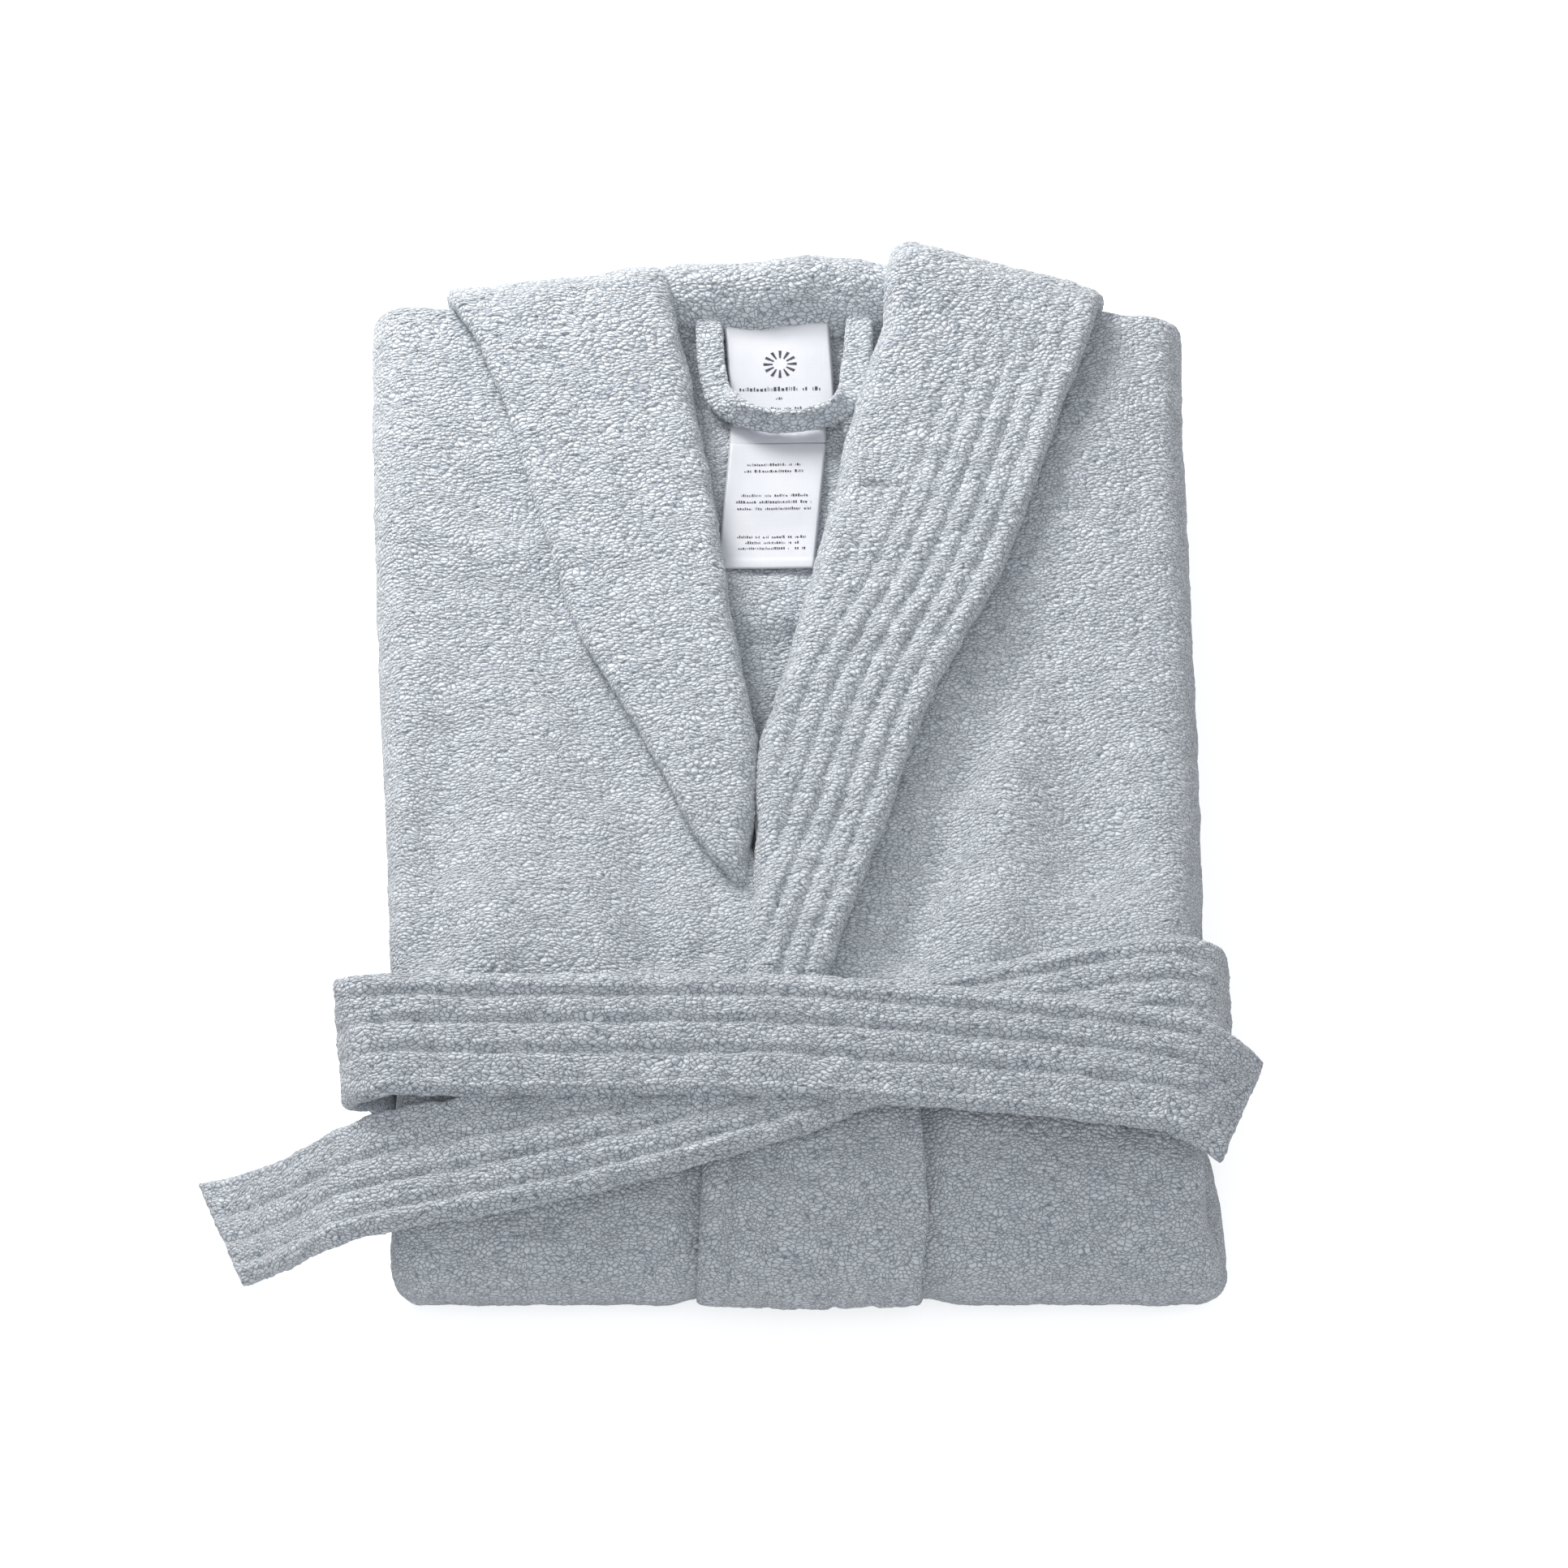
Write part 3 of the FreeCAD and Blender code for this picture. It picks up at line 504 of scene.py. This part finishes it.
def build_bundle():
    """The two fronts, the back inside them, and the sleeves between the halves."""
    rough = FINE * 2.2
    left = wrapped_layer(1, 0, FRONT_THICK, left_inner, 52, FINE, rough, dip=beside_band)
    finish_piece(cloth("front_left", left, FRONT_THICK, TERRY), ["front_panel_left"])
    right = wrapped_layer(-1, 0, FRONT_THICK, right_inner, 52, FINE, rough, dip=under_band)
    finish_piece(cloth("front_right", right, FRONT_THICK, TERRY), ["front_panel_right"])
    for side, name, seam, wide in ((1, "back", -60.0, 0.42), (-1, "back_right_half", -58.0, 0.30)):
        middle = wrapped_layer(side, BACK_DEPTH, BACK_THICK, lambda y, z: np.full_like(y, seam), 54,
                               FINE * 1.25, rough)
        x, y = middle[..., 0], middle[..., 1]
        ridge, hollow = 2.5 * np.exp(-(((y - 112) / 13) ** 2)), 5.0 * smooth(100, 84, y) * smooth(-40, 10, y)
        inside = (np.abs(x) < 40) & (middle[..., 2] > 70)
        middle[..., 2] += np.where(inside, (ridge - hollow) * smooth(40, 22, np.abs(x)), 0)
        piece = cloth(name, middle, BACK_THICK, TERRY)
        finish_piece(piece, ["back_panel"])
    for side, word in ((1, "left"), (-1, "right")):
        build_sleeve(side, word)


def flattened_tube(side, low, high, thick, near, far, y0, y1, spacing):
    """The middle surface of a sleeve laid flat: under side, rolled outer edge, upper side."""
    radius = (high - low - thick) / 2
    centre = (high + low) / 2
    edge = far - thick / 2 - radius
    flat = spread(edge - near, spacing * 1.6)
    roll = np.linspace(0, math.pi, 13)[1:-1]
    x = np.concatenate([near + flat, edge + radius * np.sin(roll), (near + flat)[::-1]])
    z = np.concatenate([np.full(len(flat), centre - radius), centre - radius * np.cos(roll),
                        np.full(len(flat), centre + radius)])
    rows = [np.stack([side * x, np.full(len(x), y), z], axis=1) for y in y0 + spread(y1 - y0, spacing)]
    return np.array(rows)[:, ::-side]


def build_sleeve(side, word):
    """A sleeve and its turned-back cuff."""
    tube = flattened_tube(side, 34.6, 61.4, SLEEVE_THICK, 6, 196, -214, 276, FINE * 2)
    tube[..., 2] += 1.2 * np.sin(tube[..., 1] * 0.03 + side) * smooth(120, 190, np.abs(tube[..., 0]))
    finish_piece(cloth(f"sleeve_cloth_{word}", tube, SLEEVE_THICK, TERRY), [f"sleeve_{word}"])
    band = flattened_tube(side, 33.6, 62.4, CUFF_THICK, 5, 199, -217, -122, FINE * 1.8)
    finish_piece(cloth(f"cuff_cloth_{word}", band, CUFF_THICK, LAPEL), [f"cuff_{word}"])


# ---------------------------------------------------------------- collar and lapels


def grooves(distance, places, depth, width=2.4):
    """Stitched channels: soft furrows at the given distances."""
    total = 0
    for place, share in places:
        total = total - depth * share * np.exp(-(((distance - place) / width) ** 2))
    return total


def turned_lapel(name, inner, outer, thick, channels, node_name, depth, fade=None, crease=None):
    """A lapel: rolled over at its inner line, flat on the chest, falling behind the shoulder on top."""
    inner_line = curve(inner, spacing=TRIM)
    rows = len(inner_line)
    outer_line = curve(outer, count=rows)
    width = np.linalg.norm(outer_line - inner_line, axis=1)
    tuck, radius = 9.0, 6.0
    fixed = tuck + radius * math.pi / 2
    across = spread(width.max() + fixed, TRIM)
    share = across / across[-1]
    grid, offsets, reach = [], [], []
    for a, b, wide in zip(inner_line, outer_line, width):
        q = share * (wide - thick / 2 - radius + fixed)
        angle = np.clip((q - tuck) / radius, 0, math.pi / 2)
        d = np.where(q < tuck, 1.5 * (1 - q / tuck), radius * (1 - np.cos(angle)) + np.maximum(q - fixed, 0))
        h = np.where(q < tuck, -radius - (tuck - q), -radius * (1 - np.sin(angle)))
        d = np.minimum(d + thick / 2, wide)
        grid.append(a + (b - a) * (d / wide)[:, None])
        offsets.append(h)
        reach.append(np.where(q > tuck, wide - d, 99))
    grid, offsets, reach = np.array(grid), np.array(offsets), np.array(reach)
    ruled = inner_line[:, None] + (outer_line - inner_line)[:, None] * np.linspace(0, 1, 12)[None, :, None]
    n = normals_of(ruled).mean(axis=1)
    if n[:, 2].mean() < 0:
        n = -n
    middle = grid + n[:, None] * offsets[..., None]
    relief = grooves(reach, channels, depth)
    if fade is not None:
        relief = relief * fade(middle[..., 1])
    if crease is not None:
        x0, x1, y0 = crease
        x, y = middle[..., 0], middle[..., 1]
        fold = 2.4 * np.exp(-(((y - y0) / 1.8) ** 2))
        relief = relief - fold * smooth(x0 - 4, x0, x) * smooth(x1 + 4, x1, x)
    if np.cross(middle[1, 0] - middle[0, 0], middle[0, -1] - middle[0, 0])[2] < 0:
        middle, relief = middle[:, ::-1], relief[:, ::-1]
    piece = cloth(name, middle, thick, LAPEL, relief=relief, depth=1.35, sides=False)
    return finish_piece(piece, [node_name])


def build_collar():
    """Both lapels, the band below the belt and the collar behind the neck."""
    inner = [(-21, -150, 100), (-20, -128, 101), (-16, -72, 102), (-14, -38, 102), (-13, 10, 103),
             (-6, 38, 103), (2, 66, 103), (11, 106, 103), (25, 163, 103), (31, 198, 103),
             (38, 228, 104), (49, 266, 109), (50, 288, 114), (53, 305, 112), (54, 312, 101),
             (54, 311, 84), (54, 306, 70)]
    outer = [(15, -150, 100), (18, -132, 101), (29, -96, 102), (45, -48, 102), (53, -22, 102),
             (70, 34, 102), (85, 68, 102), (99, 96, 102), (107, 116, 102), (122, 160, 102),
             (134, 200, 103), (145, 233, 104), (152, 258, 104), (156, 275, 102), (158, 281, 96),
             (157, 282, 84), (156, 281, 74)]
    channels = [(11.5, 0.9), (23.0, 1.0), (34.5, 1.0), (46.0, 0.9), (57.5, 0.7), (69.0, 0.35)]
    turned_lapel("lapel_left", inner, outer, LAPEL_THICK, channels, "collar_band_left", 2.0,
                 fade=lambda y: 1 - 0.75 * smooth(190, 262, y),
                 crease=(40, 57, 163))
    inner = [(-19, -95, 94), (-17, -60, 98), (-14, -20, 101), (-13, 14, 102), (-21, 66, 102),
             (-27, 104, 102), (-32, 146, 102), (-40, 196, 102), (-48, 242, 103), (-55, 284, 106),
             (-57, 298, 104), (-58, 303, 94), (-57, 300, 80), (-57, 297, 70)]
    outer = [(-20, -98, 94), (-24, -68, 98), (-40, -46, 101), (-55, -14, 102), (-72, 24, 102),
             (-92, 62, 102), (-103, 88, 102), (-116, 132, 102), (-128, 176, 102), (-138, 214, 102),
             (-152, 252, 102), (-165, 276, 100), (-167, 283, 94), (-166, 282, 82), (-165, 280, 72)]
    channels = [(12.0, 0.5), (24.0, 0.8), (36.0, 0.9), (48.0, 0.6)]
    turned_lapel(
        "lapel_right", inner, outer, LAPEL_THICK, channels, "collar_band_right", 1.7,
        fade=lambda y: smooth(170, 60, y), crease=(-81, -65, 247),
    )
    build_band()
    build_neck_roll()


def build_band():
    """The left band below the belt: over the nose and down the skirt's front edge to the hem."""
    line = side_line(FINE, FINE * 2.2)
    keep = (line[:, 0] < -118) | (line[:, 1] < 60)
    line = line[keep]
    across = spread(110, FINE)
    top_edge = smooth(-150, -265, line[:, 0]) * (line[:, 1] > 20)
    left = -35.5 - 6.5 * top_edge - 6.5 * (line[:, 1] <= 20)
    upper = 69 + 2.5 * np.sin((line[:, 0] + 150) * 0.04) - 5 * smooth(-235, -262, line[:, 0])
    right = np.where(line[:, 1] > 20, upper, 68.0)
    rows = []
    for (y, z, ny, nz), x0, x1 in zip(line, left, right):
        x = x0 + (x1 - x0) * across / across[-1]
        out = (1.2 if z > 20 else -3.2) - 2.0 * smooth(30, 8, z)
        out = out - 1.8 + 2.2 * np.sin(np.clip((x + 42) / 112, 0, 1) * math.pi) * (z > 6)
        rows.append(np.stack([x, y + ny * out, z + nz * out], axis=1))
    middle = np.array(rows)
    distance = middle[..., 0] - left[:, None]
    fading = smooth(28, 52, middle[..., 2])
    relief = grooves(distance, [(15.0, 2.4)], 1.0, 1.9) * fading
    relief = relief + grooves(distance, [(34.0, 1.2), (50.0, 0.8), (66.0, 1.3), (84.0, 0.9)], 1.0, 2.0)
    relief = relief + 1.8 * np.exp(-(((distance - 7) / 5) ** 2)) * fading
    piece = cloth("front_band", middle, 6.4, TERRY, relief=relief)
    finish_piece(piece, ["collar_band_left"])


def build_neck_roll():
    """The collar behind the neck: up from the seam, rolled over, and down behind."""
    section = curve([(267, 82.5), (274, 87), (280.5, 94), (288, 98.5), (296, 100.5), (303, 98), (307, 91),
                     (308, 82), (307, 73)], spacing=TRIM)
    rows = []
    for x in -68 + spread(132, TRIM):
        ends = smooth(34, 66, abs(x + 2))
        back = 1.5 - 3.5 * (x / 60) ** 2 + 1.0 * math.sin(x * 0.09)
        up = 1.6 + 1.2 * math.sin(x * 0.07 + 1) - 4 * ends
        rows.append([(x, y + back, z + up) for y, z in section])
    middle = np.array(rows)
    n = normals_of(middle)
    if n[len(n) // 2, len(section) // 2, 2] < 0:
        middle = middle[::-1]
    piece = cloth("neck_collar", middle, 7.5, LAPEL, depth=1.3, sides=False)
    finish_piece(piece, ["back_neck_collar"])


# ---------------------------------------------------------------- belt and hanging loop


def ribbon(name, centre, facing, width, thick, material, spacing, channels=(), depth=0.0, pile_depth=1.0,
           crown=0.0, slant=0.0, bead=0.0, reshape=None, calm=None):
    """A strip of cloth along a line, facing the given directions, its far end cut at a slant."""
    line = curve(np.concatenate([centre, facing], axis=1), spacing=spacing)
    c, n = line[:, :3], line[:, 3:]
    t = np.gradient(c, axis=0)
    t /= np.linalg.norm(t, axis=1, keepdims=True)
    n = n - t * np.sum(n * t, axis=1, keepdims=True)
    n /= np.linalg.norm(n, axis=1, keepdims=True)
    w = np.cross(n, t)
    q = spread(width, spacing, edge=min(4.5, width / 4)) - width / 2
    bow = crown * (1 - (2 * q / width) ** 2)
    middle = c[:, None] + w[:, None] * q[None, :, None] + n[:, None] * bow[None, :, None]
    share = smooth(0.75, 1.0, np.linspace(0, 1, len(c)))
    middle = middle + t[:, None] * (slant * share[:, None] * q[None, :] / width)[..., None]
    edge = width / 2 - np.abs(q)
    relief = None
    if channels:
        relief = grooves(q + width / 2, channels, depth, 2.1) + bead * np.exp(-(((edge - 6) / 4) ** 2))
        relief = relief - 3.2 * np.clip(1 - (width / 2 - q) / 11, 0, 1) ** 2 if bead else relief
        relief = np.broadcast_to(relief, middle.shape[:2]) * (1 if calm is None else calm(middle))
    if reshape is not None:
        middle = reshape(middle)
    if np.sum(normals_of(middle)[len(c) // 2, len(q) // 2] * n[len(c) // 2]) < 0:
        middle = middle[:, ::-1]
        relief = relief[:, ::-1] if relief is not None else None
    return cloth(name, middle, thick, material, relief=relief, depth=pile_depth, soft=False)


def slanted_fold(middle):
    """Lets the belt's left fold run inwards towards its near edge."""
    out = middle.copy()
    out[..., 0] -= 0.15 * (middle[..., 1] + 158) * smooth(-180, -205, middle[..., 0])
    return out


def calm_fold(middle):
    """The stitched channels are pulled flat where the belt turns round a side."""
    return 1 - 0.75 * smooth(192, 206, np.abs(middle[..., 0]))


def route(points):
    """Splits rows of x, y, z and facing x, y, z."""
    p = np.array(points, float)
    return p[:, :3], p[:, 3:]


CHANNELS = [(7.5, 0.5), (22.5, 1.0), (38.0, 1.0), (52.0, 0.9)]


def build_belt():
    """The belt: its turn round the bundle, the strand over the front with its free end, and the tail."""
    centre, facing = route([
        (14, -173, 100, 0, 0, 1), (60, -158, 101, 0, 0, 1), (120, -143, 101, 0, 0, 1),
        (165, -134, 102, 0, 0, 1), (190, -131, 101, .25, 0, 1), (206, -131, 94, .8, 0, .7),
        (211.5, -131, 80, 1, 0, .15), (211, -128, 55, 1, 0, 0), (208, -127, 26, 1, 0, -.15),
        (201, -127, 10, .8, 0, -.7), (186, -127, 4.2, .1, 0, -1), (120, -127, 4.0, 0, 0, -1),
        (0, -128, 4.0, 0, 0, -1), (-110, -129, 4.0, 0, 0, -1),
    ])
    piece = ribbon("belt_turn", centre, facing, BELT_WIDTH, 7.8, BELT, TRIM, CHANNELS, 1.8, 1.3, bead=1.0,
                   calm=calm_fold)
    finish_piece(piece, ["belt_wrap"])
    centre, facing = route([
        (-108, -129, 4.0, 0, 0, -1), (-160, -128, 4.0, 0, 0, -1), (-178, -127, 4.6, -.2, 0, -1),
        (-188, -126, 11, -.85, 0, -.6), (-192, -126, 25, -1, 0, -.1),
        (-196, -131, 46, -.97, 0, -.2), (-204, -142, 70, -.95, 0, -.2),
        (-210, -153, 88, -1, -.05, .25), (-204, -157, 99, -.7, -.12, .75),
        (-186, -158, 104.5, -.2, -.16, 1), (-150, -159, 105, 0, -.18, 1),
        (-60, -159, 105.5, 0, -.18, 1), (0, -161, 107.5, 0, -.18, 1),
        (60, -166, 107.5, 0, -.18, 1), (120, -171, 107, 0, -.18, 1),
        (165, -177, 107, .05, -.18, 1), (190, -181, 105.5, .25, -.16, 1),
        (206, -187, 99.5, .5, -.15, .9), (220, -194, 90.5, .7, -.15, .8),
    ])
    piece = ribbon("belt_front", centre, facing, BELT_WIDTH, 8.4, BELT, TRIM, CHANNELS, 2.0, 1.35, crown=1.2,
                   slant=-4, bead=1.0,
                   reshape=slanted_fold, calm=calm_fold)
    finish_piece(piece, ["belt_end"], body=None)
    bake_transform(piece)
    centre, facing = route([
        (22, -171, 99, 0, -.04, 1), (-20, -186, 98, 0, -.08, 1), (-80, -203, 94.5, 0, -.12, 1),
        (-140, -216, 90, -.03, -.14, 1), (-178, -222, 86.5, -.12, -.14, 1),
        (-200, -224, 80, -.45, -.1, .9), (-218, -224, 68, -.72, 0, .7),
        (-240, -222, 44, -.76, .02, .66), (-260, -218, 24, -.72, .05, .7),
        (-272, -216, 15.5, -.66, .05, .75),
    ])
    piece = ribbon("belt_tail_strip", centre, facing, BELT_WIDTH, 7.8, BELT, TRIM, CHANNELS, 1.9, 1.3,
                   slant=-37, bead=1.0)
    finish_piece(piece, ["belt_tail"], body=None)
    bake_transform(piece)


def build_loop():
    """The hanging loop: flat legs from the neck seam, twisting into a bar that stands on its edge."""
    centre, facing = route([
        (-37, 284, 92, 0, 0, 1), (-37, 262, 92.5, 0, 0, 1), (-35, 240, 93, 0, -.1, 1),
        (-31, 224, 94.5, .1, -.5, .85), (-22, 214.5, 96.5, .1, -.9, .45),
        (-10, 209.5, 97, .05, -.95, .3), (2, 208.5, 97, 0, -.95, .3),
        (15, 210.5, 97, -.05, -.95, .3), (26, 216, 96.5, -.1, -.9, .45),
        (33, 226, 94.5, -.1, -.5, .85), (35.5, 242, 93, 0, -.1, 1), (37, 262, 92.5, 0, 0, 1),
        (37, 284, 92, 0, 0, 1),
    ])
    piece = ribbon("loop_strip", centre, facing, LOOP_WIDTH, 4.6, LAPEL, min(FINE, 1.2), (), 0, 1.0)
    finish_piece(piece, ["hanging_loop"], body=None)
    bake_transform(piece)


# ---------------------------------------------------------------- labels


def strip_of_label(name, x0, x1, y0, y1, height, nodes, body, lean=0.0):
    """A thin satin label with a gentle wave; height(x, y) is its level."""
    xs, ys = np.linspace(x0, x1, 30), np.linspace(y0, y1, 60)
    gx, gy = np.meshgrid(xs, ys)
    gx = gx + lean * (gy - ys.mean())
    middle = np.stack([gx, gy, height(gx, gy)], axis=-1)
    if normals_of(middle)[10, 10, 2] < 0:
        middle = middle[::-1]
    piece = cloth(name, middle, 0.5, SATIN, depth=0, soft=False)
    return finish_piece(piece, nodes, body=body)


def brand_level(x, y):
    """How high the brand label lies."""
    return 89.6 + 1.2 * np.sin((y - 215) / 60 * math.pi) + 0.5 * np.sin(x * 0.11) + 2.0 * smooth(262, 280, y)


def care_level(x, y):
    """How high the care label lies, with a hem step near its end."""
    wave = 88.6 + 1.0 * np.sin((y - 120) / 26) * smooth(200, 160, y) + 0.3 * np.sin(x * 0.1)
    return wave + 1.6 * smooth(150, 122, y) + 0.45 * smooth(130.5, 129.5, y)


def print_marks(name, rows, level, body, rosettes=()):
    """Rows of small printed strokes (middle x, y, length, height) and rings of short rays."""
    points, quads = [], []
    for index, (middle, y, length, tall) in enumerate(rows):
        x = middle - length / 2
        k = 0
        while x < middle + length / 2:
            k += 1
            pick = noise.cell(Vector((index * 7.3, k * 3.1, 2.0)))
            if pick > 0.78:
                x += tall * 0.8
                continue
            wide = tall * (0.30 + 0.25 * noise.cell(Vector((k * 1.7, index * 5.1, 9.0))))
            h = tall * (0.72 + 0.28 * noise.cell(Vector((k * 2.9, index, 4.0))))
            corners = [(x, y), (x + wide, y), (x + wide, y + h), (x, y + h)]
            start = len(points)
            points += [(cx, cy, float(level(cx, cy)) + 0.42) for cx, cy in corners]
            quads.append((start, start + 1, start + 2, start + 3))
            x += wide + tall * 0.28
    for x0, y0, inner, outer, wide, count in rosettes:
        for k in range(count):
            a = 2 * math.pi * k / count
            out, turn = np.array((math.cos(a), math.sin(a))), np.array((-math.sin(a), math.cos(a)))
            start = len(points)
            for r, t in ((inner, -wide * 0.4), (outer, -wide), (outer, wide), (inner, wide * 0.4)):
                px, py = np.array((x0, y0)) + out * r + turn * t
                points.append((px, py, float(level(px, py)) + 0.42))
            quads.append((start, start + 1, start + 2, start + 3))
    piece = solid(name, np.array(points), np.array(quads), INK)
    return finish_piece(piece, [], body=body)


def build_labels():
    """The sewn-in labels inside the neck, with plain printed strokes in place of any words."""
    strip_of_label("label_top", -28, 24, 210, 281, brand_level, ["brand_label"], "robe",
                   lean=-0.06)
    strip_of_label("label_tab", -27, 21, 199, 276, lambda x, y: care_level(x, y) - 0.4, ["care_label_tab"],
                   "robe")
    care = strip_of_label("label_care", -30, 18, 124, 201, care_level, ["care_label"], None,
                          lean=0.08)
    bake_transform(care)
    top = [(-2, 231, 40, 2.6), (-2, 226, 4, 1.6), (-2, 220, 20, 1.8)]
    print_marks("label_top_print", top, brand_level, "robe", rosettes=[(-2, 247, 3.6, 8.2, 0.8, 12)])
    lower = [(-5, 187, 26, 1.7), (-5, 183, 29, 1.7), (-5, 168, 32, 1.7), (-5, 164, 37, 1.7),
             (-5, 160, 36, 1.7), (-6, 143, 34, 1.6), (-6, 139.5, 26, 1.6), (-6, 136, 33, 1.6)]
    print_marks("label_care_print", lower, care_level, "care_flap")


def build_underside():
    """Patch pockets on the skirt, and the belt carriers in the side folds."""
    for (x0, x1, y0, y1), word in zip(POCKETS, ("left", "right")):
        across, up = x0 + spread(x1 - x0, FINE * 1.5), y0 + spread(y1 - y0, FINE * 1.5)
        gx, gy = np.meshgrid(across, up)
        middle = np.stack([gx, gy, np.full_like(gx, 2.0)], axis=-1)[::-1]
        relief = grooves(gy[::-1] - y0, [(y1 - y0 - 34.0, 1.0)], 0.9, 1.4)
        piece = cloth(f"patch_pocket_{word}", middle, 3.4, TERRY, relief=relief, depth=0.5, soft=False)
        finish_piece(piece, [f"pocket_{word}"])
    for side, word in ((1, "left"), (-1, "right")):
        ys = np.linspace(-170, -110, 5)
        xs = [47.9 - 0.7 * math.cos((y + 140) / 30 * math.pi / 2) for y in ys]
        centre = np.array([(side * x, y, 65.9) for x, y in zip(xs, ys)])
        piece = ribbon(f"carrier_{word}", centre, np.array([(0, 0, 1.0)] * 5), 6.0, 2.4, LAPEL, 1.5,
                       pile_depth=0.2)
        finish_piece(piece, [f"belt_carrier_{word}"])


# ---------------------------------------------------------------- stage, light and camera


def seen_directly(nodes, links):
    """1 for rays that show the background itself: from the camera, in a reflection or through glass."""
    path = nodes.new("ShaderNodeLightPath")
    seen = node(nodes, links, "ShaderNodeMath", {"operation": "MAXIMUM"}, i0=path.outputs["Is Camera Ray"])
    links.new(path.outputs["Is Glossy Ray"], seen.inputs[1])
    both = node(nodes, links, "ShaderNodeMath", {"operation": "MAXIMUM"}, i0=seen.outputs[0])
    links.new(path.outputs["Is Transmission Ray"], both.inputs[1])
    return both.outputs[0]


def build_stage():
    """A pale floor that shows as white to the camera and still takes the robe's shadow."""
    mesh = bpy.data.meshes.new("floor")
    mesh.from_pydata([(-6, -6, 0), (6, -6, 0), (6, 6, 0), (-6, 6, 0)], [], [(0, 1, 2, 3)])
    floor = bpy.data.objects.new("floor", mesh)
    bpy.context.scene.collection.objects.link(floor)
    floor.location.z = -FLOOR_GAP
    material, nodes, links, shader = tree_of("floor")
    shader.inputs["Base Color"].default_value = (0.90, 0.91, 0.92, 1)
    shader.inputs["Roughness"].default_value = 0.9
    shader.inputs["Emission Color"].default_value = (1, 1, 1, 1)
    seen = seen_directly(nodes, links)
    glow = node(nodes, links, "ShaderNodeMath", {"operation": "MULTIPLY"}, i0=seen, i1=FLOOR_GLOW)
    links.new(glow.outputs[0], shader.inputs["Emission Strength"])
    mesh.materials.append(material)
    world = bpy.data.worlds.new("studio")
    world.use_nodes = True
    bpy.context.scene.world = world
    nodes, links = world.node_tree.nodes, world.node_tree.links
    light, white = nodes["Background"], nodes.new("ShaderNodeBackground")
    light.inputs["Color"].default_value = (0.94, 0.965, 1.0, 1)
    light.inputs["Strength"].default_value = SKY_STRENGTH
    choose = nodes.new("ShaderNodeMixShader")
    links.new(seen_directly(nodes, links), choose.inputs[0])
    links.new(light.outputs[0], choose.inputs[1])
    links.new(white.outputs[0], choose.inputs[2])
    links.new(choose.outputs[0], nodes["World Output"].inputs["Surface"])


def lamp(name, place, target, size, power, color=(1, 1, 1)):
    """A square lamp that the camera doesn't see."""
    data = bpy.data.lights.new(name, "AREA")
    data.shape, data.size, data.energy, data.color = "SQUARE", size, power, color
    made = bpy.data.objects.new(name, data)
    bpy.context.scene.collection.objects.link(made)
    made.visible_camera = False
    made.location = place
    made.rotation_euler = (Vector(target) - Vector(place)).to_track_quat("-Z", "Y").to_euler()


def build_camera():
    """A long lens, looking down on the chest from over the waist."""
    data = bpy.data.cameras.new("camera")
    data.sensor_width, data.lens = 36.0, 400.0
    camera = bpy.data.objects.new("camera", data)
    bpy.context.scene.collection.objects.link(camera)
    target = Vector((0.0, 0.0578, 0.0))
    away = Vector((0, -math.cos(CAMERA_RISE), math.sin(CAMERA_RISE)))
    camera.location = target + away * CAMERA_DISTANCE
    camera.rotation_euler = (-away).to_track_quat("-Z", "Y").to_euler()
    data.clip_end = 60
    bpy.context.scene.camera = camera


build_bundle()
build_collar()
build_belt()
build_loop()
build_labels()
build_underside()
build_stage()
lamp("key", (-0.62, 1.1, 0.74), (0, 0.0, 0.05), 0.5, 20, (1.0, 0.99, 0.97))
lamp("fill", (0.2, -1.6, 2.0), (0, 0, 0.05), 1.6, 7)
build_camera()
bpy.context.scene.view_settings.view_transform = "Standard"
